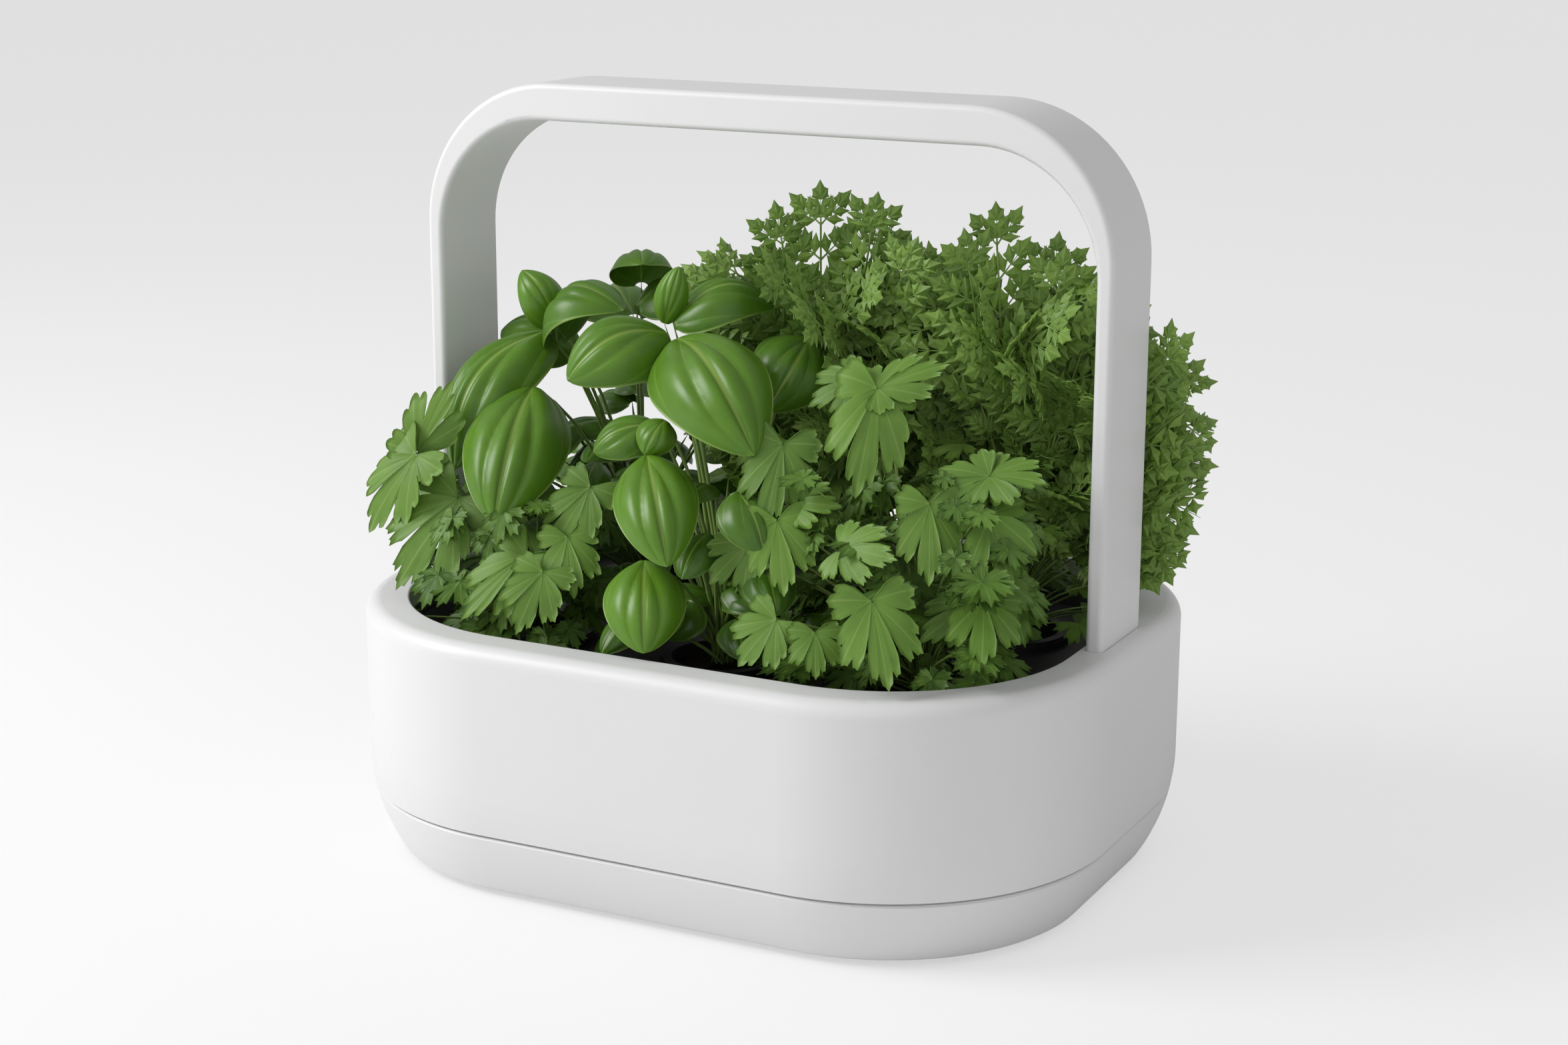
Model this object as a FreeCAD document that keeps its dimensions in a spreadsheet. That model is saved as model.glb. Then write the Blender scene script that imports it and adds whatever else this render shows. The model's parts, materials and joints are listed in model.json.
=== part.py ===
import FreeCAD, Part
import math
import os

import Sketcher
from FreeCAD import Placement, Rotation, Vector

# Countertop hydroponic garden: a rounded housing with a water tank, a deck of six planting cups,
# and an arch-shaped grow light whose legs slide in the end walls. Millimetres, +Z up,
# origin on the table under the middle of the housing.

# Driving dimensions
SIZES = {
    # housing plan and section
    "half_length": 180, "half_width": 142, "corner": 105, "body_top": 120, "wall": 2.8,
    "belly_radius": 85, "belly_start": 50, "rim_round": 7, "rim_width": 20,
    "rim_edge": 1.2, "lip_depth": 11, "lip_thick": 2.2, "seam_low": 32.2, "seam_gap": 1.3,
    "seam_bevel": 0.8, "tongue_height": 10, "tongue_thick": 1.8, "tongue_gap": 0.3,
    "foot_gap": 3, "floor_inner": 130,
    # light arch
    "arch_half": 171, "arch_top": 351, "bar_thick": 17, "leg_thick": 8, "arch_depth": 48,
    "arch_corner": 67, "arch_inner_corner": 55, "arch_edge": 2.6, "leg_bottom": 24,
    "arch_travel": 70, "slide_gap": 0.3, "bay_half_length": 100, "bay_half_width": 19,
    "bay_depth": 12, "lens_ledge": 2, "lens_thick": 2.5,
    # leg guides
    "guide_bottom": 52, "guide_half": 28, "guide_skin": 2.3, "peg_half": 4.7, "peg_deep": 1.6,
    "peg_tall": 6, "rail_half": 3, "rail_thick": 0.5, "pad_half": 12, "pad_low": 102,
    "pad_tall": 5,
    # tank and deck
    "tank_half_length": 150, "tank_half_width": 118, "tank_corner": 90, "tank_wall": 2.5,
    "tank_floor": 10, "tank_round": 12, "tank_top": 95.5, "flange_thick": 2.5,
    "flange_out": 3, "deck_gap": 0.6, "deck_thick": 2.5, "deck_edge": 2, "deck_rise": 8,
    # planting cups
    "cup_pitch": 98, "cup_row": 50, "cup_top": 24.6, "cup_bottom": 17.5, "cup_deep": 47,
    "cup_wall": 1.4, "cup_lip": 27.5, "cup_hole": 25.5, "collar": 28.5, "collar_rise": 3,
    "slot_wide": 4, "slot_tall": 28, "sponge_top": 21.5, "sponge_bottom": 15.5,
    "sponge_tall": 40, "dibble": 7.5, "dibble_deep": 12, "stalk": 0.8,
    # water gear
    "fill_place": 49, "fill_radius": 14, "float_place": -49, "float_outer": 11,
    "float_bore": 2.6, "float_tall": 14, "float_rest": 26, "rod": 2, "pump_length": 46,
    "pump_width": 34, "pump_tall": 32, "pump_lift": 4, "chamber": 11, "chamber_deep": 12,
    "impeller": 9.4, "shaft": 1.2, "shaft_gap": 0.05, "riser": 5, "riser_wall": 1.2,
    # power gear
    "board_back": 123.4, "board_thick": 1.6, "board_low": 6, "board_tall": 80,
    "board_left": -8, "board_long": 80, "button_x": 60, "button_z": 75, "button": 6,
    "button_gap": 0.3, "button_travel": 1, "inlet_x": -40, "inlet_z": 20,
    "inlet_wide": 9, "inlet_tall": 11, "inlet_deep": 14,
    # fasteners and feet
    "screw_reach": 86, "screw_shank": 1.5, "screw_head": 3, "boss": 4, "boss_bottom": 36,
    "boss_top": 92, "foot_radius": 9, "foot_x": 110, "foot_y": 75,
}

doc = FreeCAD.newDocument("garden")
sheet = doc.addObject("Spreadsheet::Sheet", "sizes")
for row, (alias, number) in enumerate(SIZES.items(), start=1):
    sheet.set(f"A{row}", alias)
    sheet.set(f"B{row}", str(number))
    sheet.setAlias(f"B{row}", alias)
doc.recompute()


class Size:
    """A number together with the spreadsheet expression that gives it."""

    def __init__(self, value, text):
        self.value = float(value)
        self.text = text

    def mix(self, other, sign, result):
        text = other.text if isinstance(other, Size) else repr(other)
        return Size(result, f"({self.text} {sign} {text})")

    def __add__(self, other):
        return self.mix(other, "+", self.value + number_of(other))

    def __sub__(self, other):
        return self.mix(other, "-", self.value - number_of(other))

    def __mul__(self, other):
        return self.mix(other, "*", self.value * number_of(other))

    def __truediv__(self, other):
        return self.mix(other, "/", self.value / number_of(other))

    def __neg__(self):
        return Size(-self.value, f"(0 - {self.text})")

    def __rsub__(self, other):
        return Size(other - self.value, f"({other!r} - {self.text})")

    def root(self):
        return Size(math.sqrt(self.value), f"sqrt({self.text})")


class Dimensions:
    """The driving dimensions by name."""

    def __getattr__(self, name):
        return Size(sheet.get(name), f"sizes.{name}")


d = Dimensions()


def number_of(size):
    return size.value if isinstance(size, Size) else float(size)


def bind(item, prop, size):
    """Set a property of an object, and bind it to the sheet where it comes from there."""
    if isinstance(size, Size):
        item.setExpression(prop, size.text)


# Document helpers
nodes = []


def keep(item, label):
    """Mark an object as one piece of the garden."""
    item.Label = label
    nodes.append(item)
    return item


def new_body(label):
    return keep(doc.addObject("PartDesign::Body", label), label)


def new_sketch(body, role, lift=0):
    """A sketch on one of the body's own origin planes, lifted along that plane's normal."""
    plane = next(item for item in body.Origin.OriginFeatures if item.Role == role)
    sketch = body.newObject("Sketcher::SketchObject", "sketch")
    sketch.AttachmentSupport = (plane, [""])
    sketch.MapMode = "FlatFace"
    sketch.AttachmentOffset = Placement(Vector(0, 0, number_of(lift)), Rotation())
    bind(sketch, "AttachmentOffset.Base.z", lift)
    return sketch


def arc_between(start, end, radius):
    """The arc of up to a half turn from start to end, turning left for a positive radius."""
    chord = end - start
    middle = (start + end) * 0.5
    left = Vector(-chord.y, chord.x, 0).normalize()
    rise = math.sqrt(max(radius * radius - chord.Length * chord.Length / 4, 0))
    centre = middle + left * math.copysign(rise, radius)
    first, last = (start, end) if radius > 0 else (end, start)
    circle = Part.Circle(centre, Vector(0, 0, 1), abs(radius))
    angles = [math.atan2(p.y - centre.y, p.x - centre.x) for p in (first, last)]
    return Part.ArcOfCircle(circle, angles[0], angles[1])


def pin(sketch, geometry, place, corner):
    """Constraints that hold one sketch point at a place given by two sizes."""
    for axis, along, size in ((-2, "DistanceX", corner[0]), (-1, "DistanceY", corner[1])):
        value = number_of(size)
        if abs(value) < 1e-9:
            sketch.addConstraint(Sketcher.Constraint("PointOnObject", geometry, place, axis))
            continue
        index = sketch.addConstraint(
            Sketcher.Constraint(along, -1, 1, geometry, place, value))
        bind(sketch, f"Constraints[{index}]", size)


def outline(sketch, corners):
    """A closed loop. A corner's third entry is the radius of the arc to the next corner."""
    first = sketch.GeometryCount
    ends = []
    for index, corner in enumerate(corners):
        following = corners[(index + 1) % len(corners)]
        start = Vector(number_of(corner[0]), number_of(corner[1]), 0)
        end = Vector(number_of(following[0]), number_of(following[1]), 0)
        if len(corner) == 3:
            radius = number_of(corner[2])
            sketch.addGeometry(arc_between(start, end, radius), False)
            ends.append((1, 2) if radius > 0 else (2, 1))
        else:
            sketch.addGeometry(Part.LineSegment(start, end), False)
            ends.append((1, 2))
    for index, corner in enumerate(corners):
        after = (index + 1) % len(corners)
        sketch.addConstraint(Sketcher.Constraint(
            "Coincident", first + index, ends[index][1], first + after, ends[after][0]))
        pin(sketch, first + index, ends[index][0], corner)
        if len(corner) == 3:
            radius = corner[2]
            if number_of(radius) < 0:
                radius = -radius
            fixed = sketch.addConstraint(
                Sketcher.Constraint("Radius", first + index, number_of(radius)))
            bind(sketch, f"Constraints[{fixed}]", radius)
    return sketch


def circle(sketch, x, y, radius):
    """A circle held at its centre and by its radius."""
    centre = Vector(number_of(x), number_of(y), 0)
    index = sketch.addGeometry(Part.Circle(centre, Vector(0, 0, 1), number_of(radius)), False)
    pin(sketch, index, 3, (x, y))
    fixed = sketch.addConstraint(Sketcher.Constraint("Radius", index, number_of(radius)))
    bind(sketch, f"Constraints[{fixed}]", radius)
    return sketch


def rectangle(sketch, left, low, right, high):
    return outline(sketch, [(left, low), (right, low), (right, high), (left, high)])


def rounded(sketch, half_x, half_y, radius, x=0, y=0):
    """A rounded rectangle about x, y. It starts in the middle of its right side."""
    right, left = half_x + x, -half_x + x
    top, bottom = half_y + y, -half_y + y
    return outline(sketch, [
        (right, y), (right, top - radius, radius), (right - radius, top),
        (left + radius, top, radius), (left, top - radius),
        (left, bottom + radius, radius), (left + radius, bottom),
        (right - radius, bottom, radius), (right, bottom + radius)])


def feature(body, kind, sketch, **sizes):
    """A sketch-based feature with its sizes bound."""
    item = body.newObject(kind, kind.split("::")[1])
    item.Profile = (sketch, [""])
    for prop, size in sizes.items():
        if isinstance(size, Size):
            setattr(item, prop, size.value)
            bind(item, prop, size)
        else:
            setattr(item, prop, size)
    return item


def pad(body, sketch, length, **more):
    return feature(body, "PartDesign::Pad", sketch, Length=length, **more)


def pocket(body, sketch, length, **more):
    """A pocket that is checked to have cut something."""
    doc.recompute()
    before = body.Shape.Volume
    item = feature(body, "PartDesign::Pocket", sketch, Length=length, **more)
    doc.recompute()
    if body.Shape.Volume > before - 1e-3:
        raise RuntimeError(f"{body.Label}: a pocket cuts nothing")
    return item


def ring(body, profile, path):
    """A profile swept round a closed plan outline."""
    item = body.newObject("PartDesign::AdditivePipe", "ring")
    item.Profile = (profile, [""])
    item.Spine = (path, [""])
    return item


def turned(body, sketch, kind="PartDesign::Revolution"):
    """A profile in the XZ plane turned about the body's own Z axis."""
    item = feature(body, kind, sketch, Angle=360.0)
    item.ReferenceAxis = (sketch, ["V_Axis"])
    return item


def place(item, x=0, y=0, z=0):
    """Put an object at a place given by sizes."""
    item.Placement = Placement(Vector(*(number_of(v) for v in (x, y, z))),
                               item.Placement.Rotation)
    for axis, size in zip("xyz", (x, y, z)):
        bind(item, f"Placement.Base.{axis}", size)
    return item


def block(x, y, z, length, width, height):
    """A box from its lowest corner."""
    item = doc.addObject("Part::Box", "block")
    for prop, size in (("Length", length), ("Width", width), ("Height", height)):
        setattr(item, prop, number_of(size))
        bind(item, prop, size)
    return place(item, x, y, z)


def rod(x, y, z, radius, height, axis="z"):
    """A cylinder from the middle of its first end, along an axis."""
    item = doc.addObject("Part::Cylinder", "rod")
    for prop, size in (("Radius", radius), ("Height", height)):
        setattr(item, prop, number_of(size))
        bind(item, prop, size)
    turns = {"z": Rotation(), "x": Rotation(Vector(0, 1, 0), 90),
             "y": Rotation(Vector(1, 0, 0), -90)}
    item.Placement = Placement(Vector(), turns[axis])
    return place(item, x, y, z)


def joined(*items):
    item = doc.addObject("Part::MultiFuse", "joined")
    item.Shapes = list(items)
    return item


def cut(base, *tools):
    item = doc.addObject("Part::Cut", "cut")
    item.Base = base
    item.Tool = tools[0] if len(tools) == 1 else joined(*tools)
    return item


def group(*items):
    item = doc.addObject("Part::Compound", "group")
    item.Links = list(items)
    return item


# Housing outline
def belly(offset, height):
    """How far the side wall stands out, inside the skin by an offset, at a height."""
    drop = d.belly_start - height
    reach = d.belly_radius - offset
    return d.half_length - d.belly_radius + (reach * reach - drop * drop).root()


def plan_path(body, half_length=None, half_width=None, corner=None):
    """The plan outline that the housing sections are swept round."""
    return rounded(new_sketch(body, "XY_Plane"), half_length or d.half_length,
                   half_width or d.half_width, corner or d.corner)


SIDES = (1, -1)


def screw_places():
    """The four screws stand on the plan's corner diagonals."""
    reach = d.screw_reach * math.sqrt(0.5)
    along = d.half_length - d.corner + reach
    across = d.half_width - d.corner + reach
    return [(along * a, across * b, a, b) for a in SIDES for b in SIDES]


def leg_slot(sketch, side, gap):
    """The cross-section of one arch leg with a gap round it."""
    centre = (d.arch_half - d.leg_thick / 2) * side
    return rounded(sketch, d.leg_thick / 2 + gap, d.arch_depth / 2 + gap,
                   d.arch_edge + gap, x=centre)


# Upper shell: one moulding with the side wall, the rounded rim and the inner lip
def upper_shell():
    body = new_body("upper_shell")
    low = d.seam_low + d.seam_gap
    top = d.body_top
    skin = d.wall
    inner_round = d.rim_round - skin
    inner = d.half_length - d.rim_width
    section = outline(new_sketch(body, "XZ_Plane"), [
        (belly(0, low), low, d.belly_radius),
        (d.half_length, d.belly_start),
        (d.half_length, top - d.rim_round, d.rim_round),
        (d.half_length - d.rim_round, top),
        (inner + d.rim_edge, top, d.rim_edge),
        (inner, top - d.rim_edge),
        (inner, top - d.lip_depth),
        (inner + d.lip_thick, top - d.lip_depth),
        (inner + d.lip_thick, top - skin),
        (d.half_length - d.rim_round, top - skin, -inner_round),
        (d.half_length - skin, top - d.rim_round),
        (d.half_length - skin, d.belly_start, -(d.belly_radius - skin)),
        (belly(skin, low), low)])
    ring(body, section, plan_path(body))
    bosses = new_sketch(body, "XY_Plane", d.boss_bottom)
    rib_bottom = d.seam_low + d.tongue_height + 2
    ribs = new_sketch(body, "XY_Plane", rib_bottom)
    for x, y, a, b in screw_places():
        circle(bosses, x, y, d.boss)
        step = (d.corner - d.screw_reach - skin + 1) * math.sqrt(0.5)
        half = 0.8
        outline(ribs, [(x + half * a, y - half * b),
                       (x + step * a + half * a, y + step * b - half * b),
                       (x + step * a - half * a, y + step * b + half * b),
                       (x - half * a, y + half * b)])
    height = d.boss_top - d.boss_bottom
    pad(body, ribs, d.boss_top - rib_bottom)
    pad(body, bosses, height)
    holes = new_sketch(body, "XY_Plane", d.boss_bottom)
    for x, y, a, b in screw_places():
        circle(holes, x, y, d.screw_shank + 0.05)
    pocket(body, holes, 16.0, Reversed=True)
    for side in SIDES:
        slot = leg_slot(new_sketch(body, "XY_Plane", top - skin - 1), side, d.slide_gap)
        pocket(body, slot, skin + 2, Reversed=True)
    window = circle(new_sketch(body, "XZ_Plane", -d.half_width - 1), d.button_x, d.button_z,
                    d.button + d.button_gap)
    pocket(body, window, skin + 3, Reversed=True)
    return body


# Base shell: the lower moulding that curves in to the foot
def base_shell():
    body = new_body("base_shell")
    low = d.foot_gap
    seam = d.seam_low
    floor = low + d.wall
    tongue = belly(d.wall, seam + d.seam_gap) - d.tongue_gap
    section = outline(new_sketch(body, "XZ_Plane"), [
        (d.floor_inner, low),
        (belly(0, low) - d.seam_bevel, low),
        (belly(0, low + d.seam_bevel), low + d.seam_bevel, d.belly_radius),
        (belly(0, seam - d.seam_bevel), seam - d.seam_bevel),
        (belly(0, seam - d.seam_bevel) - d.seam_bevel, seam),
        (tongue, seam),
        (tongue, seam + d.tongue_height),
        (tongue - d.tongue_thick, seam + d.tongue_height),
        (tongue - d.tongue_thick, seam - d.wall),
        (belly(d.wall, seam - d.wall * 2), seam - d.wall * 2, -(d.belly_radius - d.wall)),
        (belly(d.wall, floor), floor),
        (d.floor_inner, floor)])
    ring(body, section, plan_path(body))
    plate = new_sketch(body, "XY_Plane", low)
    inset = d.half_length - d.floor_inner - 2
    rounded(plate, d.half_length - inset, d.half_width - inset, d.corner - inset)
    pad(body, plate, d.wall)
    rests = new_sketch(body, "XY_Plane", low + 1)
    for y in SIDES:
        middle = d.tank_half_width / 2 * y
        rectangle(rests, -d.tank_half_length * 0.7, middle - 2, d.tank_half_length * 0.7, middle + 2)
    pad(body, rests, d.tank_floor - low - 1)
    posts = new_sketch(body, "XY_Plane", low + 1)
    back = d.board_back
    for left in (d.board_left - 4, d.board_left + d.board_long + 0.2):
        rectangle(posts, left, back - 2.5, left + 3.8, back + d.board_thick + 1.5)
    rectangle(posts, d.inlet_x - 7, back - 4, d.inlet_x + 7, back + 1)
    pad(body, posts, d.inlet_z - d.inlet_tall / 2 - low - 1)
    tubes = new_sketch(body, "XY_Plane", low + 1)
    for x, y, a, b in screw_places():
        circle(tubes, x, y, d.boss + 0.2)
    pad(body, tubes, d.boss_bottom - low - 1)
    holes = new_sketch(body, "XY_Plane", low - 1)
    heads = new_sketch(body, "XY_Plane", low - 1)
    for x, y, a, b in screw_places():
        circle(holes, x, y, d.screw_shank + 0.3)
        circle(heads, x, y, d.screw_head + 0.3)
    pocket(body, holes, d.boss_bottom, Reversed=True)
    pocket(body, heads, 5.0, Reversed=True)
    inlet = new_sketch(body, "XZ_Plane", -d.half_width)
    rectangle(inlet, d.inlet_x - d.inlet_wide / 2 - 0.2, d.inlet_z - d.inlet_tall / 2,
              d.inlet_x + d.inlet_wide / 2 + 0.2, d.inlet_z + d.inlet_tall / 2 + 0.2)
    pocket(body, inlet, 12.0, Reversed=True)
    return body


# Tank and deck
def reservoir_tank():
    body = new_body("reservoir_tank")
    outer = d.tank_half_length
    floor = d.tank_floor
    wall = d.tank_wall
    bend = d.tank_round
    flange = d.tank_top - d.flange_thick
    section = outline(new_sketch(body, "XZ_Plane"), [
        (outer - 40, floor), (outer - bend, floor, bend), (outer, floor + bend),
        (outer, flange - 2), (outer + d.flange_out, flange), (outer + d.flange_out, d.tank_top),
        (outer - wall, d.tank_top), (outer - wall, floor + bend, -(bend - wall)),
        (outer - bend, floor + wall), (outer - 40, floor + wall)])
    ring(body, section, plan_path(body, outer, d.tank_half_width, d.tank_corner))
    plate = new_sketch(body, "XY_Plane", floor)
    rounded(plate, outer - 38, d.tank_half_width - 38, d.tank_corner - 38)
    pad(body, plate, wall)
    return body


def cup_places():
    return [(d.cup_pitch * i, d.cup_row * j) for j in (-1, 1) for i in (-1, 0, 1)]


def grow_deck():
    body = new_body("grow_deck")
    inset = d.rim_width + d.deck_gap
    low = d.tank_top
    section = outline(new_sketch(body, "XZ_Plane"), [
        (d.half_length - inset - 12, low), (d.half_length - inset, low),
        (d.half_length - inset, low + d.deck_rise),
        (d.half_length - inset - d.deck_edge, low + d.deck_rise),
        (d.half_length - inset - d.deck_edge * 2, low + d.deck_thick),
        (d.half_length - inset - 12, low + d.deck_thick)])
    ring(body, section, plan_path(body))
    plate = new_sketch(body, "XY_Plane", low)
    reach = inset + 10
    rounded(plate, d.half_length - reach, d.half_width - reach, d.corner - reach)
    pad(body, plate, d.deck_thick)
    collars = new_sketch(body, "XY_Plane", low + 0.5)
    for x, y in cup_places():
        circle(collars, x, y, d.collar)
    circle(collars, d.fill_place, 0, d.fill_radius + 2)
    pad(body, collars, d.deck_thick + d.collar_rise - 0.5)
    holes = new_sketch(body, "XY_Plane", low - 1)
    for x, y in cup_places():
        circle(holes, x, y, d.cup_hole)
    circle(holes, d.fill_place, 0, d.fill_radius)
    circle(holes, d.float_place, 0, d.rod + 0.3)
    pocket(body, holes, 12.0, Reversed=True)
    return body


# Planting cups, grow sponges
def net_cup(index, x, y):
    body = new_body(f"net_cup_{index}")
    top = d.tank_top + d.deck_thick + d.collar_rise
    low = top - d.cup_deep
    wall = d.cup_wall
    section = outline(new_sketch(body, "XZ_Plane"), [
        (0, low), (d.cup_bottom - 2, low), (d.cup_bottom, low + 2), (d.cup_top, top),
        (d.cup_lip, top), (d.cup_lip, top + wall), (d.cup_top - wall, top + wall),
        (d.cup_bottom - wall, low + wall), (0, low + wall)])
    turned(body, section)
    slots = new_sketch(body, "XZ_Plane")
    slot_low = low + 6
    rectangle(slots, -d.slot_wide / 2, slot_low, d.slot_wide / 2, slot_low + d.slot_tall)
    first = pocket(body, slots, d.cup_top + 2)
    ways = body.newObject("PartDesign::PolarPattern", "ways")
    ways.Originals = [first]
    ways.Axis = (next(f for f in body.Origin.OriginFeatures if f.Role == "Z_Axis"), [""])
    ways.Angle = 360
    ways.Occurrences = 8
    body.Tip = ways
    place(body, x, y)
    return body


def grow_sponge(index, x, y):
    item = doc.addObject("Part::Cone", "plug")
    low = d.tank_top + d.deck_thick + d.collar_rise - d.cup_deep + d.cup_wall
    for prop, size in (("Radius1", d.sponge_bottom), ("Radius2", d.sponge_top),
                       ("Height", d.sponge_tall)):
        setattr(item, prop, size.value)
        bind(item, prop, size)
    place(item, x, y, low)
    hole = rod(x, y, low + d.sponge_tall - d.dibble_deep, d.dibble, d.dibble_deep + 1)
    return keep(cut(item, hole), f"grow_sponge_{index}")


# Light arch
def arch_frame():
    body = new_body("arch_frame")
    outer = d.arch_half
    inner = outer - d.leg_thick
    top = d.arch_top
    under = top - d.bar_thick
    low = d.leg_bottom
    bow = d.arch_corner
    bend = d.arch_inner_corner
    section = outline(new_sketch(body, "XZ_Plane"), [
        (outer, low), (outer, top - bow, bow), (outer - bow, top), (-(outer - bow), top, bow),
        (-outer, top - bow), (-outer, low), (-inner, low), (-inner, under - bend, -bend),
        (-(inner - bend), under), (inner - bend, under, -bend), (inner, under - bend), (inner, low)])
    pad(body, section, d.arch_depth, SideType="Symmetric")
    doc.recompute()
    solid = body.Tip
    edges = []
    for number, edge in enumerate(solid.Shape.Edges, start=1):
        box = edge.BoundBox
        flat = abs(abs(box.YMin) - d.arch_depth.value / 2) < 0.01 and box.YLength < 0.01
        if flat and box.ZMax > low.value + 1:
            edges.append(f"Edge{number}")
    soft = body.newObject("PartDesign::Fillet", "soft_edges")
    soft.Base = (solid, edges)
    soft.Radius = d.arch_edge.value
    bind(soft, "Radius", d.arch_edge)
    bay = new_sketch(body, "XY_Plane", under - 1)
    rectangle(bay, -d.bay_half_length, -d.bay_half_width, d.bay_half_length, d.bay_half_width)
    pocket(body, bay, d.bay_depth + 1, Reversed=True)
    ledge = new_sketch(body, "XY_Plane", under - 1)
    wide = d.bay_half_width + d.lens_ledge
    long = d.bay_half_length + d.lens_ledge
    rectangle(ledge, -long, -wide, long, wide)
    pocket(body, ledge, d.lens_thick + 1, Reversed=True)
    holes = new_sketch(body, "XY_Plane", under)
    for x in SIDES:
        for y in SIDES:
            circle(holes, (d.bay_half_length - 8) * x, (d.bay_half_width - 5) * y, 1.45)
    pocket(body, holes, d.bay_depth + 3.5, Reversed=True)
    for side in SIDES:
        face = outer * side
        wiper = new_sketch(body, "XZ_Plane")
        rectangle(wiper, face - 1.0 * side, low + 2, face + 1.0 * side, low + 20)
        pocket(body, wiper, d.rail_half * 2, SideType="Symmetric")
        peg = new_sketch(body, "XZ_Plane")
        rectangle(peg, (inner - d.peg_deep) * side, low, (inner + 1) * side, low + d.peg_tall)
        pad(body, peg, d.peg_half * 2, SideType="Symmetric")
    return body


def lamp_parts():
    """The stack in the bar of the arch: heat spreader, board, light chips and lens."""
    under = d.arch_top - d.bar_thick
    ceiling = under + d.bay_depth
    long = d.bay_half_length - 1
    wide = d.bay_half_width - 1
    corners = [((d.bay_half_length - 8) * x, (d.bay_half_width - 5) * y)
               for x in SIDES for y in SIDES]
    spreader = block(-long, -wide, ceiling - 3, long * 2, wide * 2, 3.0)
    board = block(-long, -wide, ceiling - 4.6, long * 2, wide * 2, 1.6)
    keep(cut(spreader, *[rod(x, y, ceiling - 5, 1.6, 7.0) for x, y in corners]), "heat_spreader")
    keep(cut(board, *[rod(x, y, ceiling - 6, 1.6, 4.0) for x, y in corners]), "led_board")
    chips = [block((i - 5.5) * 15 - 2.5, y * 7.5 - 2.5, ceiling - 5.6, 5.0, 5.0, 1.0)
             for i in range(12) for y in SIDES]
    keep(group(*chips), "led_chips")
    edge = d.lens_ledge - 0.2
    lens = block(-(d.bay_half_length + edge), -(d.bay_half_width + edge), under,
                 (d.bay_half_length + edge) * 2, (d.bay_half_width + edge) * 2, d.lens_thick)
    keep(lens, "light_diffuser")
    screws = [joined(rod(x, y, ceiling - 6.2, 2.6, 1.6), rod(x, y, ceiling - 5, 1.4, 7.0))
              for x, y in corners]
    keep(group(*screws), "arch_screws")


def leg_guide(side, name):
    """A sleeve that the leg slides in, with a groove that ends the leg's travel."""
    body = new_body(f"leg_guide_{name}")
    inner = d.half_length - d.rim_width + 0.4
    outer = d.half_length - d.wall
    low = d.guide_bottom
    height = d.body_top - d.lip_depth - low
    sleeve = new_sketch(body, "XY_Plane", low)
    rectangle(sleeve, inner * side, -d.guide_half, outer * side, d.guide_half)
    pad(body, sleeve, height)
    slot = leg_slot(new_sketch(body, "XY_Plane", low - 1), side, d.slide_gap)
    pocket(body, slot, height + 2, Reversed=True)
    face = d.arch_half - d.leg_thick
    groove = new_sketch(body, "XY_Plane", low - 1)
    rectangle(groove, (face - d.peg_deep - d.slide_gap) * side, -d.peg_half - d.slide_gap,
              (face + 1) * side, d.peg_half + d.slide_gap)
    stop = d.leg_bottom + d.peg_tall + d.arch_travel
    pocket(body, groove, stop - low + 1, Reversed=True)
    rail = new_sketch(body, "XY_Plane", low - 1)
    rectangle(rail, (d.arch_half - 1) * side, -d.rail_half - 0.1,
              (d.arch_half + 1) * side, d.rail_half + 0.1)
    pocket(body, rail, height + 2, Reversed=True)
    pad_hole = new_sketch(body, "XY_Plane", d.pad_low)
    rectangle(pad_hole, (inner - 1) * side, -d.pad_half, (face + 1) * side, d.pad_half)
    pocket(body, pad_hole, d.pad_tall, Reversed=True)
    return body


def leg_fittings(side, name):
    """The friction pad, the contact rail in the sleeve and the wiper on the leg."""
    inner = d.half_length - d.rim_width + 0.4
    face = d.arch_half - d.leg_thick
    low = d.guide_bottom

    def between(first, last, y, z, width, height):
        left = first * side if side > 0 else last * side
        return block(left, -y, z, last - first, width, height)

    keep(between(inner + 0.2, face - 0.1, d.pad_half, d.pad_low, d.pad_half * 2, d.pad_tall),
         f"friction_pad_{name}")
    rail = between(d.arch_half + 1 - d.rail_thick, d.arch_half + 1, d.rail_half, low + 1,
                   d.rail_half * 2, d.body_top - d.lip_depth - low - 2)
    keep(rail, f"contact_rail_{name}")
    wiper = between(d.arch_half - 1, d.arch_half + 0.25, d.rail_half - 0.2, d.leg_bottom + 3,
                    d.rail_half * 2 - 0.4, 16.0)
    keep(wiper, f"leg_contact_{name}")


# Pump
def impeller_vane(x, height, angle):
    """A plate through the hub, turned about the shaft, that makes two opposite blades."""
    half = 0.7
    turn = Rotation(Vector(1, 0, 0), angle)
    vane = block(x, 0, height, d.chamber_deep - 4, half * 2, d.impeller * 2)
    corner = turn.multVec(Vector(0, -half, -d.impeller.value))
    place(vane, x, corner.y, height + corner.z)
    vane.Placement = Placement(vane.Placement.Base, turn)
    return vane


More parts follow.
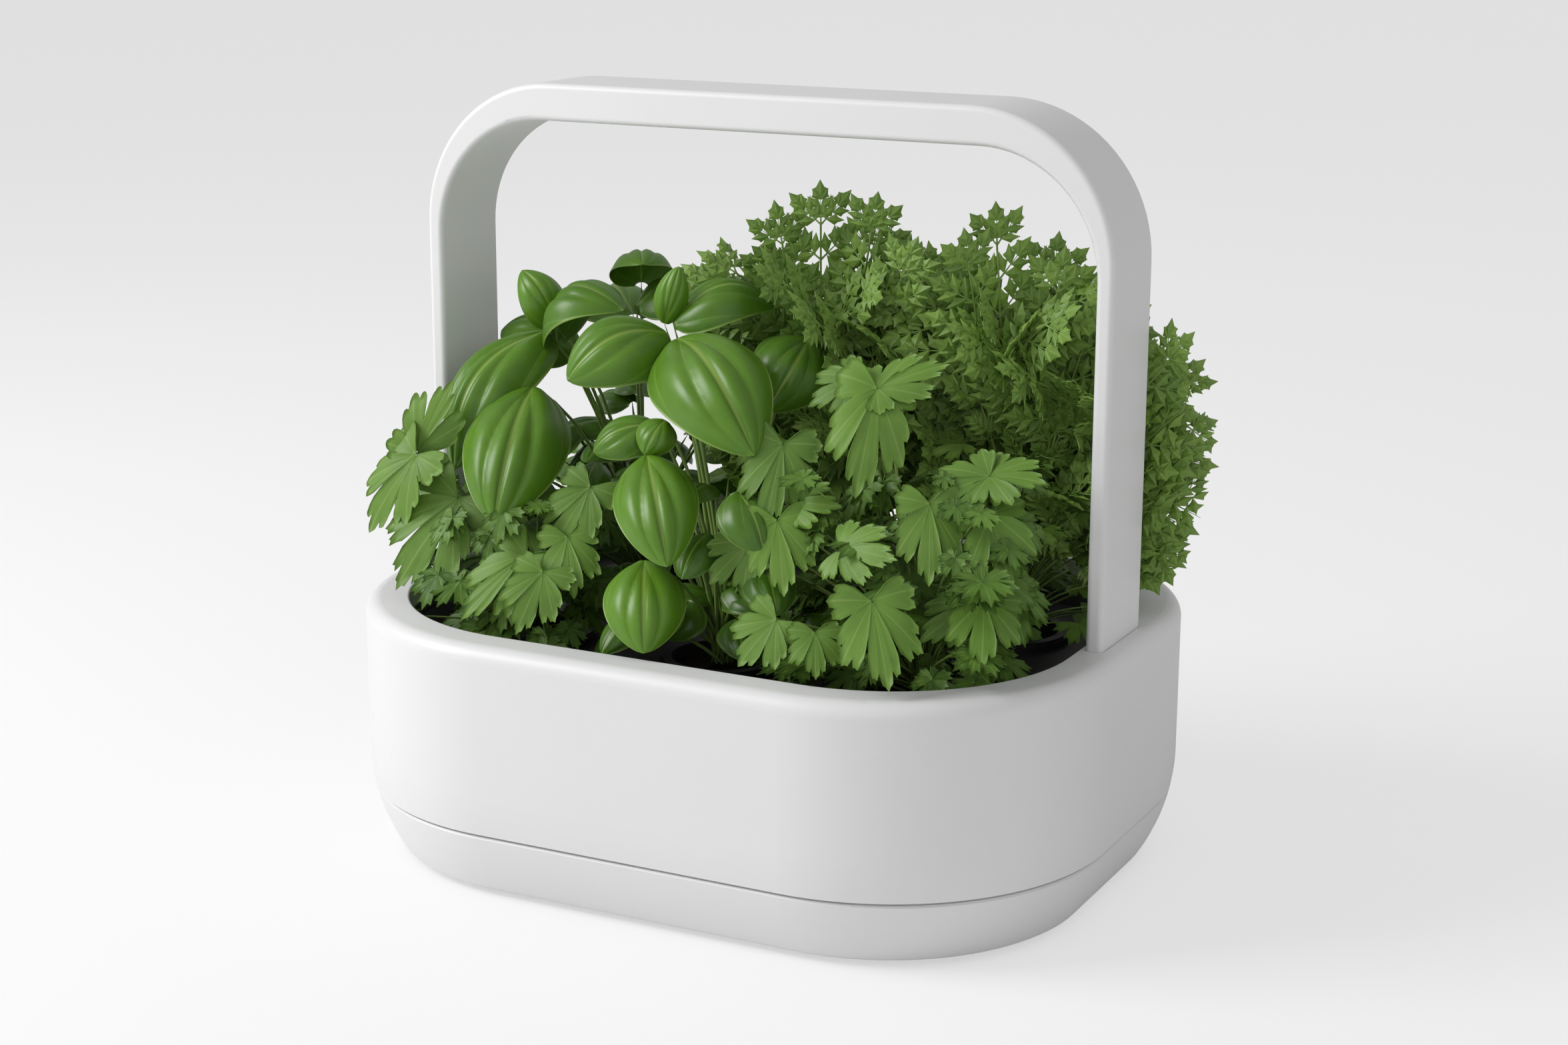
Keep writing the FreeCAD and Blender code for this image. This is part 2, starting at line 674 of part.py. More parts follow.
def pump():
    floor = d.tank_floor + d.tank_wall
    low = floor + d.pump_lift
    middle = low + d.pump_tall / 2
    front = d.pump_length / 2
    body = new_body("pump_body")
    plan = new_sketch(body, "XY_Plane", low)
    rounded(plan, front, d.pump_width / 2, d.riser)
    pad(body, plan, d.pump_tall)
    chamber = circle(new_sketch(body, "YZ_Plane", front + 1), 0, middle, d.chamber)
    pocket(body, chamber, d.chamber_deep + 1)
    drill = circle(new_sketch(body, "YZ_Plane", front), 0, middle, d.shaft)
    pocket(body, drill, d.chamber_deep + 5)
    spout = circle(new_sketch(body, "XY_Plane", low + d.pump_tall), 0, 0, d.riser - d.riser_wall)
    pocket(body, spout, 8.0)
    suckers = [rod((front - 7) * x, (d.pump_width / 2 - 7) * y, floor, 5.0, d.pump_lift)
               for x in SIDES for y in SIDES]
    keep(group(*suckers), "pump_suckers")
    back = front - d.chamber_deep
    keep(rod(back - 4, 0, middle, d.shaft, d.chamber_deep + 3, "x"), "impeller_shaft")
    hub = rod(back + 0.6, 0, middle, 3.4, d.chamber_deep - 2, "x")
    vanes = [impeller_vane(back + 0.6, middle, 60 * turn) for turn in range(3)]
    bore = rod(back, 0, middle, d.shaft + d.shaft_gap, d.chamber_deep + 2, "x")
    keep(cut(joined(hub, *vanes), bore), "pump_impeller")
    grille = new_body("pump_grille")
    face = new_sketch(grille, "YZ_Plane", front)
    rectangle(face, -d.pump_width / 2 + 1.5, low + 1.5, d.pump_width / 2 - 1.5,
              low + d.pump_tall - 1.5)
    pad(grille, face, 2.5)
    bars = new_sketch(grille, "YZ_Plane", front + 4)
    for k in range(-3, 4):
        rectangle(bars, k * 3.6 - 0.9, middle - 9, k * 3.6 + 0.9, middle + 9)
    pocket(grille, bars, 5.0)
    top = low + d.pump_tall
    pipe = cut(joined(rod(0, 0, top, d.riser, d.tank_top - top - 6),
                      rod(0, 0, top, d.riser + 1.5, 3.0)),
               rod(0, 0, top - 1, d.riser - d.riser_wall, d.tank_top - top))
    keep(pipe, "riser_pipe")


# Level float
def level_gauge():
    x = d.float_place
    rest = d.float_rest
    top = d.tank_top + d.deck_thick
    stem = joined(rod(x, 0, rest - 4, d.rod, top - rest + 8),
                  rod(x, 0, rest - 4, 6.0, 3.9), rod(x, 0, top, 6.0, 2.0))
    keep(stem, "float_rod")
    ring_float = cut(rod(x, 0, rest, d.float_outer, d.float_tall),
                     rod(x, 0, rest - 1, d.float_bore, d.float_tall + 2))
    keep(ring_float, "level_float")


# Control board, button, power inlet
def power_gear():
    back = d.board_back
    face = back + d.board_thick
    board = block(d.board_left, back, d.board_low, d.board_long, d.board_thick, d.board_tall)
    parts = [block(d.board_left + 12, face - 0.2, 30, 14.0, 2.2, 14.0),
             block(d.board_left + 10, face - 0.2, 56, 8.0, 3.2, 8.0),
             rod(d.board_left + 62, face - 0.2, 26, 5.0, 9.0, "y"),
             rod(d.board_left + 48, face - 0.2, 26, 4.0, 8.0, "y"),
             block(d.board_left + 52, face - 0.2, 50, 12.0, 6.2, 10.0)]
    keep(joined(board, *parts), "control_board")
    x = d.button_x
    z = d.button_z
    switch_deep = 5
    switch = cut(block(x - 6, face, z - 6, 12.0, switch_deep, 12.0),
                 rod(x, face + switch_deep - 2.5, z, 2.0, 4.0, "y"))
    keep(switch, "button_switch")
    inside = d.half_width - d.wall
    stem_start = face + switch_deep - 1.3
    cap_start = inside - 0.3 - 1.5
    cap = joined(rod(x, cap_start, z, d.button + 1.4, 1.5, "y"),
                 rod(x, cap_start, z, d.button, d.half_width - cap_start - 0.2, "y"),
                 rod(x, stem_start, z, 1.7, cap_start - stem_start + 0.5, "y"))
    keep(cap, "power_button")
    x = d.inlet_x
    low = d.inlet_z - d.inlet_tall / 2
    shell = cut(block(x - d.inlet_wide / 2, back - 3, low, d.inlet_wide, d.inlet_deep - 1,
                      d.inlet_tall),
                rod(x, back, d.inlet_z, 2.75, d.inlet_deep, "y"))
    tip = rod(x, back - 1, d.inlet_z, 1.0, 8.0, "y")
    keep(joined(shell, tip), "power_inlet")


# Fasteners and feet
def fixings():
    low = d.foot_gap
    screws = []
    for x, y, a, b in screw_places():
        screws.append(joined(rod(x, y, low + 1.6, d.screw_head, 2.4),
                             rod(x, y, low + 3, d.screw_shank, d.boss_bottom + 11 - low)))
    keep(group(*screws), "base_screws")
    feet = []
    for x in SIDES:
        for y in SIDES:
            foot = doc.addObject("Part::Cone", "foot")
            for prop, size in (("Radius1", d.foot_radius - 1), ("Radius2", d.foot_radius),
                               ("Height", low)):
                setattr(foot, prop, size.value)
                bind(foot, prop, size)
            feet.append(place(foot, d.foot_x * x, d.foot_y * y))
    keep(group(*feet), "rubber_feet")


# Plants. Every leaf is cut from a thin ball shell by its own outline, so it is domed as it grows.
LEAF_THICK = 1.2
GOLDEN_TURN = 137.5
TO_VIEWER = Vector(0.46, -0.85, 0.27)


def oval_outline(length, width, steps=8):
    """Basil: broad near its stalk and pointed at its tip, from the origin along +X."""
    shares = [(step / steps) ** 1.4 for step in range(steps + 1)]
    half = [width / 2 * share ** 0.52 * (1 - share) ** 0.72 / 0.4255 for share in shares]
    side = [Vector(length * share, across, 0) for share, across in zip(shares, half)]
    other = [Vector(corner.x, -corner.y, 0) for corner in side[1:-1]]
    return Part.makePolygon(side + other[::-1] + side[:1])


def fan_outline(length, width, lobes=5, spread=2.1):
    """Parsley: lobes round the end of the stalk, each with a middle tooth and two side teeth."""
    steps = lobes * 6
    squeeze = min(max(width / length / 1.75, 0.5), 1.6)
    corners = []
    for step in range(steps + 1):
        across = 2 * step / steps - 1
        lobe = abs(math.cos(math.pi * lobes / 2 * across)) ** 0.55
        tooth = abs(math.cos(math.pi * lobes * 1.5 * across))
        reach = length * (0.74 + 0.26 * math.cos(spread * 0.9 * across))
        reach *= 0.46 + 0.40 * lobe + 0.16 * tooth
        angle = spread * across
        corners.append(Vector(reach * math.cos(angle), reach * squeeze * math.sin(angle), 0))
    return Part.makePolygon(corners + corners[:1])


def feather_outline(length, width, pairs=6):
    """Dill-like frond: pairs of leaflets that lean to the tip, longest a third of the way up."""
    step = length / (pairs + 1)
    rib = 0.08 * width
    side = []
    for pair in range(pairs):
        share = (pair + 0.5) / pairs
        reach = width / 2 * (0.5 + 0.5 * math.sin(math.pi * min(share + 0.2, 1.0)))
        side += [(step * pair, rib), (step * (pair + 0.9), reach)]
    corners = [Vector(x, y, 0) for x, y in side] + [Vector(length, 0, 0)]
    corners += [Vector(x, -y, 0) for x, y in reversed(side)]
    return Part.makePolygon(corners + corners[:1])


def rosette_outline(length, width):
    """Several fans of parsley round one stalk's end, as one many-lobed leaf."""
    return fan_outline(length, width, 7, 3.0)


# Each form's outline, the radius of the ball that it is cut from and how far along the ball's top
# lies, both as shares of the leaf's length
FORMS = {"oval": (oval_outline, 0.68, 0.5), "fan": (fan_outline, 2.4, 0.24),
         "rosette": (rosette_outline, 2.0, 0.0), "feather": (feather_outline, 1.6, 0.3)}


def blade(outline_wire, dome, apex):
    """The leaf inside an outline, cut from a ball shell whose top lies at apex along +X."""
    sink = math.sqrt(dome * dome - apex * apex)
    prism = Part.Face(outline_wire).extrude(Vector(0, 0, sink + dome))
    prism.translate(Vector(0, 0, -sink))
    upright = Rotation(Vector(0, 1, 0), 90) * Rotation(Vector(1, 0, 0), -90)
    balls = []
    for radius in (dome + LEAF_THICK, dome):
        ball = Part.makeSphere(radius)
        ball.Placement = Placement(Vector(apex, 0, -sink), upright)
        balls.append(ball)
    return prism.common(balls[0]).cut(balls[1])


def grip_point(length, dome, apex):
    """Where the stalk meets the leaf, inside its thickness and a little way along it."""
    along = 0.1 * length
    skin = dome + LEAF_THICK / 2
    return Vector(along, 0, math.sqrt(skin ** 2 - (along - apex) ** 2)
                  - math.sqrt(dome ** 2 - apex ** 2))


def leaf_place(base, tip, facing_way):
    """The place of a leaf that runs from base to tip with its upper face towards a direction."""
    along = (tip - base).normalize()
    out = (facing_way - along * facing_way.dot(along)).normalize()
    return Placement(base, Rotation(along, out.cross(along), out, "ZXY"))


def plant(label, place_in_deck, leaves):
    """Stalks packed in the sponge's hole that lean out, each ending in one leaf."""
    foot = d.tank_top + d.deck_thick + d.collar_rise - d.cup_deep + d.cup_wall
    foot = (foot + d.sponge_tall - d.dibble_deep).value
    knee = foot + d.dibble_deep.value + 6
    stalk = d.stalk.value
    crown = Vector(*(number_of(v) for v in place_in_deck), 0)
    room = d.dibble.value - stalk - 0.3
    solids = []
    for index, (form, base, tip, width, facing_way) in enumerate(leaves):
        outline_of, dome, apex = FORMS[form]
        length = (tip - base).Length
        leaf = blade(outline_of(length, width), dome * length, apex * length)
        leaf.Placement = leaf_place(base, tip, facing_way)
        end = leaf.Placement.multVec(grip_point(length, dome * length, apex * length))
        turn = math.radians(GOLDEN_TURN * index)
        offset = room * math.sqrt((index + 0.5) / len(leaves))
        start = crown + Vector(math.cos(turn), math.sin(turn), 0) * offset
        bend = start + Vector(0, 0, knee)
        upright = Part.makeCylinder(stalk, knee + 0.5 - foot, start + Vector(0, 0, foot))
        leaning = Part.makeCylinder(stalk * 0.85, (end - bend).Length, bend, end - bend)
        solids.append(upright.fuse([leaning, leaf]))
    item = doc.addObject("Part::Feature", label)
    item.Shape = Part.makeCompound(solids)
    return keep(item, label)


def facing(toward, lift, side=0.0):
    """The way a leaf's upper face looks: part towards the viewer, part up."""
    return TO_VIEWER * toward + Vector(side, 0, lift)


def placed(form, rows):
    """Leaves that show, from rows of base, tip, width and facing."""
    return [(form, Vector(*base), Vector(*tip), width, facing(*face))
            for base, tip, width, face in rows]


def share_of(index, ratio):
    """An even spread of shares between 0 and 1 that doesn't repeat."""
    return (index * ratio) % 1.0


def whorl(form, place_in_deck, count, turn, heights, reach, size, droop=0.3, narrow=0.74):
    """Inner leaves round the stem at a golden-angle step."""
    crown = Vector(*(number_of(v) for v in place_in_deck), 0)
    leaves = []
    for index in range(count):
        angle = math.radians(turn + GOLDEN_TURN * index)
        heading = Vector(math.cos(angle), math.sin(angle), 0)
        out = reach[0] + (reach[1] - reach[0]) * share_of(index, 0.37)
        level = heights[0] + (heights[1] - heights[0]) * share_of(index, 0.618)
        base = crown + heading * out + Vector(0, 0, level)
        length = size[0] + (size[1] - size[0]) * share_of(index, 0.71)
        fall = droop * (1.6 * share_of(index, 0.53) - 0.3)
        tip = base + heading * length * 0.9 - Vector(0, 0, length * fall)
        leaves.append((form, base, tip, length * narrow, heading * 0.4 + Vector(0, 0, 1)))
    return leaves


def plants():
    left, front_left, middle, right = (
        (-d.cup_pitch, d.cup_row), (-d.cup_pitch, -d.cup_row), (0, -d.cup_row),
        (d.cup_pitch, -d.cup_row))
    plant("basil_left", left, placed("oval", [
        ((-113, -5, 228), (-66, -22, 250), 42, (0.5, 1.0)),
        ((-112, -6, 236), (-128, -10, 262), 24, (0.8, 0.5)),
        ((-116, -10, 234), (-134, -62, 176), 46, (0.9, 0.5, -0.5)),
        ((-104, -40, 214), (-90, -97, 164), 52, (0.9, 0.5)),
        ((-110, 10, 222), (-150, 5, 229), 40, (0.5, 1.0)),
        ((-96, 41, 238), (-62, 74, 246), 43, (0.3, 1.0)),
        ((-100, 45, 235), (-140, 80, 225), 44, (0.2, 1.0)),
        ((-98, 50, 250), (-80, 20, 264), 34, (0.3, 1.0))])
        + whorl("oval", left, 6, 75, (135, 205), (8, 14), (32, 42)))
    plant("basil_front", middle, placed("oval", [
        ((-36, -35, 244), (-66, -72, 226), 44, (0.8, 0.7)),
        ((-28, -40, 243), (34, -84, 205), 56, (1.0, 0.5)),
        ((-37, -28, 248), (-2, 4, 253), 36, (0.4, 1.0)),
        ((-40, -30, 247), (-34, -27, 273), 17, (1.0, 0.1)),
        ((-18, -85, 200), (12, -121, 162), 40, (1.0, 0.3)),
        ((-11, -100, 157), (3, -126, 124), 39, (1.0, 0.3)),
        ((-14, -76, 214), (-19, -86, 200), 20, (1.0, 0.5)),
        ((-22, -70, 210), (-46, -84, 198), 26, (0.8, 0.8)),
        ((18, 0, 240), (12, -30, 212), 40, (0.8, 0.6, 0.4))])
        + whorl("oval", middle, 4, 200, (128, 190), (4, 9), (26, 34)))
    plant("parsley_left", front_left, placed("fan", [
        ((-139, -85, 187), (-163, -96, 152), 34, (0.9, 0.5, -0.2)),
        ((-142, -80, 187), (-128, -73, 219), 34, (1.0, 0.2)),
        ((-120, -80, 168), (-140, -106, 132), 52, (1.0, 0.4, -0.2)),
        ((-75, -95, 150), (-93, -121, 127), 36, (0.9, 0.7)),
        ((-61, -103, 146), (-63, -123, 125), 34, (1.0, 0.5)),
        ((-56, -70, 178), (-65, -92, 153), 34, (0.9, 0.6)),
        ((-59, -85, 158), (-46, -102, 138), 32, (0.9, 0.7)),
        ((-100, -60, 158), (-78, -82, 150), 36, (0.8, 0.7)),
        ((-156, -48, 166), (-187.6, -46, 156), 28, (0.8, 0.7, -0.2))])
        + whorl("rosette", front_left, 5, 100, (122, 150), (16, 36), (16, 22), 0.2, 1.9))
    plant("parsley_right", right, placed("fan", [
        ((43, -75, 209), (46, -97, 180), 38, (0.9, 0.6)),
        ((47, -80, 184), (73, -86, 190), 30, (0.9, 0.6)),
        ((49, -92, 180), (60, -107, 154), 36, (1.0, 0.4)),
        ((80, -60, 234), (84, -88, 196), 42, (1.0, 0.4)),
        ((80, -60, 234), (106, -48, 246), 28, (0.9, 0.6)),
        ((66, -50, 235), (48, -62, 226), 34, (0.7, 0.8)),
        ((133, -62, 202), (112, -78, 194), 36, (0.8, 0.8)),
        ((133, -62, 202), (158, -66, 205), 34, (0.8, 0.8)),
        ((114, -80, 192), (122, -97, 164), 34, (1.0, 0.4)),
        ((137, -70, 188), (154, -86, 165), 36, (0.9, 0.6)),
        ((140, -82, 154), (150, -106, 137), 38, (0.9, 0.6)),
        ((136, -80, 153), (118, -97, 139), 32, (0.9, 0.7)),
        ((102, -110, 156), (119, -129, 128), 42, (0.9, 0.6)),
        ((58, -110, 142), (46, -123, 125), 34, (0.9, 0.6)),
        ((80, -95, 172), (106, -101, 174), 34, (1.0, 0.4)),
        ((36, -90, 169), (20, -101, 152), 34, (0.9, 0.6)),
        ((76, -110, 139), (84, -125, 126), 28, (0.9, 0.6))])
        + whorl("rosette", right, 6, 20, (122, 205), (12, 34), (16, 24), 0.2, 1.9))
    feathers = {
        "dill_back": ((0, d.cup_row), [
            (0, 8, 281), (16, 15, 290), (40, 18, 288), (58, 12, 270), (-12, 25, 262),
            (30, 40, 275), (62, 40, 262), (-30, 60, 240), (20, 90, 235), (45, 85, 245),
            (-36, 82, 215), (0, 105, 212), (32, 62, 262), (-20, 38, 250)]),
        "dill_right": ((d.cup_pitch, d.cup_row), [
            (92, 8, 276), (100, 20, 286), (84, 30, 262), (126, 28, 266), (140, 32, 250),
            (118, 42, 270), (150, 45, 238), (134, 75, 235), (100, 85, 240), (182, 38, 216),
            (186, 38, 180), (172, 42, 235), (168, 46, 150), (178, 50, 196), (80, 62, 230)])}
    for label, (spot, tips) in feathers.items():
        crown = Vector(*(number_of(v) for v in spot), d.tank_top.value)
        leaves = []
        for tip in (Vector(*tip) for tip in tips):
            fork = crown + (tip - crown) * 0.5 + Vector(0, 0, 12)
            length = (tip - fork).Length
            leaves.append(("feather", fork, tip, min(length * 0.55, 34), facing(0.8, 0.2)))
        plant(label, spot, leaves)


# Assembly
upper_shell()
base_shell()
reservoir_tank()
grow_deck()
for number, (cup_x, cup_y) in enumerate(cup_places(), start=1):
    net_cup(number, cup_x, cup_y)
    grow_sponge(number, cup_x, cup_y)
arch_frame()
lamp_parts()
for leg_side, leg_name in ((1, "right"), (-1, "left")):
    leg_guide(leg_side, leg_name)
    leg_fittings(leg_side, leg_name)
pump()
level_gauge()
power_gear()
fixings()
plants()
doc.recompute()

# Checks and output
for item in doc.Objects:
    if {"Invalid", "Error"} & set(item.State):
        raise RuntimeError(f"{item.Name} ({item.Label}) failed: {item.State}")
os.makedirs("parts", exist_ok=True)
for item in nodes:
    shape = item.Shape
    if shape.isNull() or not shape.isValid():
        raise RuntimeError(f"{item.Label}: no valid shape")
    shape.exportStep(f"parts/{item.Label}.step")
    print(f"{item.Label}: {len(shape.Solids)} solids, {len(shape.Faces)} faces, "
          f"{shape.Volume / 1000:.1f} cm3")
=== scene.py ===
# %% [markdown]
# # A countertop water garden
# The engineering model of the garden arrives as a fixed frame: every moulding, cup, screw and board
# already has its real shape and place. Our job is the looks: finishes for those pieces, and the
# living part, the herbs, which replace the plain plant solids. Everything is in metres, +Z up,
# with the origin on the table under the middle of the housing.

# %% Load the frame
import json
import math

import bmesh
import bpy
import numpy as np
from mathutils import Matrix, Vector

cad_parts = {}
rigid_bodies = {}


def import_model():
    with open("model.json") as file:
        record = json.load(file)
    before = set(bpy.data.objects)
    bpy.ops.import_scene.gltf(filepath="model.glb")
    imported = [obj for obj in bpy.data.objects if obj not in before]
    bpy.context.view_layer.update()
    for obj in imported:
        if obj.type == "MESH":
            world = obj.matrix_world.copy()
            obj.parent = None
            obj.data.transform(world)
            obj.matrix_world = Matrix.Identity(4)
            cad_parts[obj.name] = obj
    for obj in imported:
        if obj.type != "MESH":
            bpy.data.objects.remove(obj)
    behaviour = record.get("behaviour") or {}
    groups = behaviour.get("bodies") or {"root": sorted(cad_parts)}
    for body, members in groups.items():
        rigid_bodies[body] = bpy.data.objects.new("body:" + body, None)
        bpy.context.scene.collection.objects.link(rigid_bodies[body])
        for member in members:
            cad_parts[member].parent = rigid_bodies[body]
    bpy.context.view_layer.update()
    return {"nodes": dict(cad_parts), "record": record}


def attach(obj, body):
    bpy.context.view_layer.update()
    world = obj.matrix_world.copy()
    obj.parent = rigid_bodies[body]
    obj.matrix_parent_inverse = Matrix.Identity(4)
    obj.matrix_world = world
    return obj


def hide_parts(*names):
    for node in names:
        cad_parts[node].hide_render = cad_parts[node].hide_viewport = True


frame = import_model()
nodes = frame["nodes"]
MM = 0.001

# %% [markdown]
# ## The camera
# A long lens stands to the right of the garden and a little above it, so the long side and the
# right end both show. The place, the angles and the focal length were worked out from the
# housing's own edges. We build the view axes from the angles, then turn them into a matrix.

# %% Camera
CAMERA_PLACE = Vector((558.8, -1087.3, 463.8)) * MM
CAMERA_YAW, CAMERA_PITCH, CAMERA_ROLL = -0.4708, -0.2493, 0.0030
FRAME_WIDTH = 2352
FOCAL_PIXELS = 4096.0


def view_axes(yaw, pitch, roll):
    """Right, up and forward of a camera that looks along +Y when its angles are zero."""
    forward = Vector((math.sin(yaw) * math.cos(pitch), math.cos(yaw) * math.cos(pitch),
                      math.sin(pitch)))
    right = Vector((math.cos(yaw), -math.sin(yaw), 0))
    up = right.cross(forward)
    return (right * math.cos(roll) + up * math.sin(roll),
            up * math.cos(roll) - right * math.sin(roll), forward)


def make_camera():
    right, up, forward = view_axes(CAMERA_YAW, CAMERA_PITCH, CAMERA_ROLL)
    data = bpy.data.cameras.new("camera")
    data.sensor_width = 36
    data.lens = FOCAL_PIXELS / FRAME_WIDTH * data.sensor_width
    camera = bpy.data.objects.new("camera", data)
    turn = Matrix((right, up, -forward)).transposed().to_4x4()
    camera.matrix_world = Matrix.Translation(CAMERA_PLACE) @ turn
    bpy.context.scene.collection.objects.link(camera)
    bpy.context.scene.camera = camera
    print(f"lens {data.lens:.1f} mm")


make_camera()

# %% [markdown]
# ## Writing shaders as sums
# A finish is easier to read as arithmetic than as a web of links. One small class wraps a socket
# and gives it +, - and *, so each operator adds its Math node. A second class holds one material:
# its `add` method makes any other node from a type, its settings and its inputs.

# %% Shader helpers
class Wire:
    """A socket that can be used in arithmetic."""

    def __init__(self, finish, socket):
        self.finish = finish
        self.socket = socket

    def math(self, operation, *values):
        return self.finish.add("ShaderNodeMath", {"operation": operation}, [self, *values])

    def __add__(self, other):
        return self.math("ADD", other)

    def __sub__(self, other):
        return self.math("SUBTRACT", other)

    def __mul__(self, other):
        return self.math("MULTIPLY", other)

    def __rsub__(self, other):
        return self.finish.add("ShaderNodeMath", {"operation": "SUBTRACT"}, [other, self])

    __radd__ = __add__
    __rmul__ = __mul__

    def clamped(self):
        return self.finish.add("ShaderNodeClamp", {}, [self])


class Finish:
    """One material: a Principled surface and the nodes that feed it."""

    def __init__(self, name):
        self.material = bpy.data.materials.new(name)
        self.material.use_nodes = True
        self.tree = self.material.node_tree
        self.surface = self.tree.nodes["Principled BSDF"]
        self.output = self.tree.nodes["Material Output"]

    def add(self, kind, settings=None, inputs=None, out=0):
        node = self.tree.nodes.new(kind)
        for key, value in (settings or {}).items():
            setattr(node, key, value)
        pairs = inputs.items() if isinstance(inputs, dict) else enumerate(inputs or [])
        for key, value in pairs:
            self.feed(node.inputs[key], value)
        return Wire(self, node.outputs[out])

    def feed(self, socket, value):
        if isinstance(value, Wire):
            self.tree.links.new(value.socket, socket)
        else:
            socket.default_value = value

    def set(self, **values):
        for key, value in values.items():
            self.feed(self.surface.inputs[key.replace("_", " ")], value)

    def place(self):
        return self.add("ShaderNodeTexCoord", out=3)

    def noise(self, scale, detail=3.0, rough=0.5, where=None):
        where = where or self.place()
        return self.add("ShaderNodeTexNoise", {}, {"Vector": where, "Scale": scale,
                        "Detail": detail, "Roughness": rough})

    def mix(self, factor, first, second):
        """Blend two colours."""
        inputs = {0: factor, 6: first, 7: second}
        return self.add("ShaderNodeMix", {"data_type": "RGBA"}, inputs, out=2)

    def bump(self, height, strength=0.2, distance=0.001):
        return self.add("ShaderNodeBump", {}, {"Height": height, "Strength": strength,
                        "Distance": distance})


def colour(red, green, blue):
    return (red, green, blue, 1.0)


print("shader helpers ready")

# %% [markdown]
# ## White housing plastic
# The shells and the arch are one satin white plastic. A moulding is never a flat colour: it has a
# fine spark-eroded grain that breaks the highlight and a very slight drift in tone from the flow of
# the melt. Two noises give those, one in the bump and one in colour and roughness.

# %% Moulded plastics
finishes = {}


def moulded(name, tint, roughness, grain=2600.0, depth=0.06, drift=0.03):
    finish = Finish(name)
    cloud = finish.noise(9.0, 2.0)
    light = colour(*[min(c * (1 + drift), 1.0) for c in tint])
    dark = colour(*[c * (1 - drift) for c in tint])
    skin = finish.noise(grain, 2.0)
    finish.set(Base_Color=finish.mix(cloud, dark, light),
               Roughness=cloud * 0.06 + (roughness - 0.03),
               Normal=finish.bump(skin, depth, 0.0003))
    finishes[name] = finish.material


moulded("white_housing", (0.76, 0.76, 0.76), 0.42)
moulded("black_tub", (0.012, 0.012, 0.013), 0.55, depth=0.15, drift=0.2)
moulded("cup_plastic", (0.018, 0.018, 0.018), 0.5, depth=0.15, drift=0.2)
moulded("guide_plastic", (0.62, 0.62, 0.60), 0.5)
moulded("soft_rubber", (0.03, 0.03, 0.03), 0.8, grain=1500.0, depth=0.25, drift=0.2)
moulded("black_part", (0.025, 0.025, 0.028), 0.45, depth=0.1, drift=0.15)
moulded("float_foam", (0.75, 0.30, 0.05), 0.7, grain=1200.0, depth=0.3)
moulded("diffuser", (0.86, 0.86, 0.85), 0.3, depth=0.02)
moulded("light_chips", (0.9, 0.8, 0.35), 0.25, depth=0.02)
print(f"{len(finishes)} plastics")

# %% [markdown]
# ## Metals, boards and grow plugs
# The plate behind the lamp is rolled aluminium, so its grain runs one way: a noise stretched
# along X does that. The boards are green solder mask over faint copper runs. A grow plug is damp
# peat, so it is nearly black-brown, rough and crumbly.

# %% Metals and small finishes
BARE_BOARD, COPPER_RUN = colour(0.01, 0.09, 0.035), colour(0.03, 0.2, 0.08)
DAMP_PEAT, DRY_PEAT = colour(0.004, 0.003, 0.002), colour(0.05, 0.03, 0.015)


def brushed(name, tint, roughness, stretch=(3.0, 260.0, 260.0)):
    finish = Finish(name)
    grained = finish.add("ShaderNodeMapping", {}, {"Vector": finish.place(), "Scale": stretch})
    lines = finish.noise(6.0, 4.0, 0.6, where=grained)
    finish.set(Base_Color=finish.mix(lines, colour(*[c * 0.85 for c in tint]), colour(*tint)),
               Metallic=1.0, Roughness=lines * 0.15 + roughness,
               Normal=finish.bump(lines, 0.08, 0.0002))
    finishes[name] = finish.material


def circuit_board():
    finish = Finish("circuit_board")
    bands = finish.add("ShaderNodeTexWave", {"wave_type": "BANDS", "bands_direction": "X"},
                       {"Vector": finish.place(), "Scale": 240.0, "Distortion": 6.0})
    runs = ((bands - 0.8) * 8.0).clamped()
    finish.set(Base_Color=finish.mix(runs, BARE_BOARD, COPPER_RUN),
               Roughness=runs * 0.1 + 0.28, Normal=finish.bump(runs, 0.2, 0.0001))
    finishes["circuit_board"] = finish.material


def peat():
    finish = Finish("grow_sponge")
    crumbs = finish.noise(900.0, 6.0, 0.7)
    finish.set(Base_Color=finish.mix(crumbs, DAMP_PEAT, DRY_PEAT),
               Roughness=crumbs * 0.2 + 0.75, Normal=finish.bump(crumbs, 0.9, 0.002))
    finishes["grow_sponge"] = finish.material


brushed("aluminium_plate", (0.75, 0.75, 0.77), 0.3)
brushed("steel", (0.6, 0.6, 0.6), 0.28, (200.0, 200.0, 20.0))
brushed("contact_brass", (0.75, 0.55, 0.25), 0.22, (40.0, 40.0, 300.0))
circuit_board()
peat()
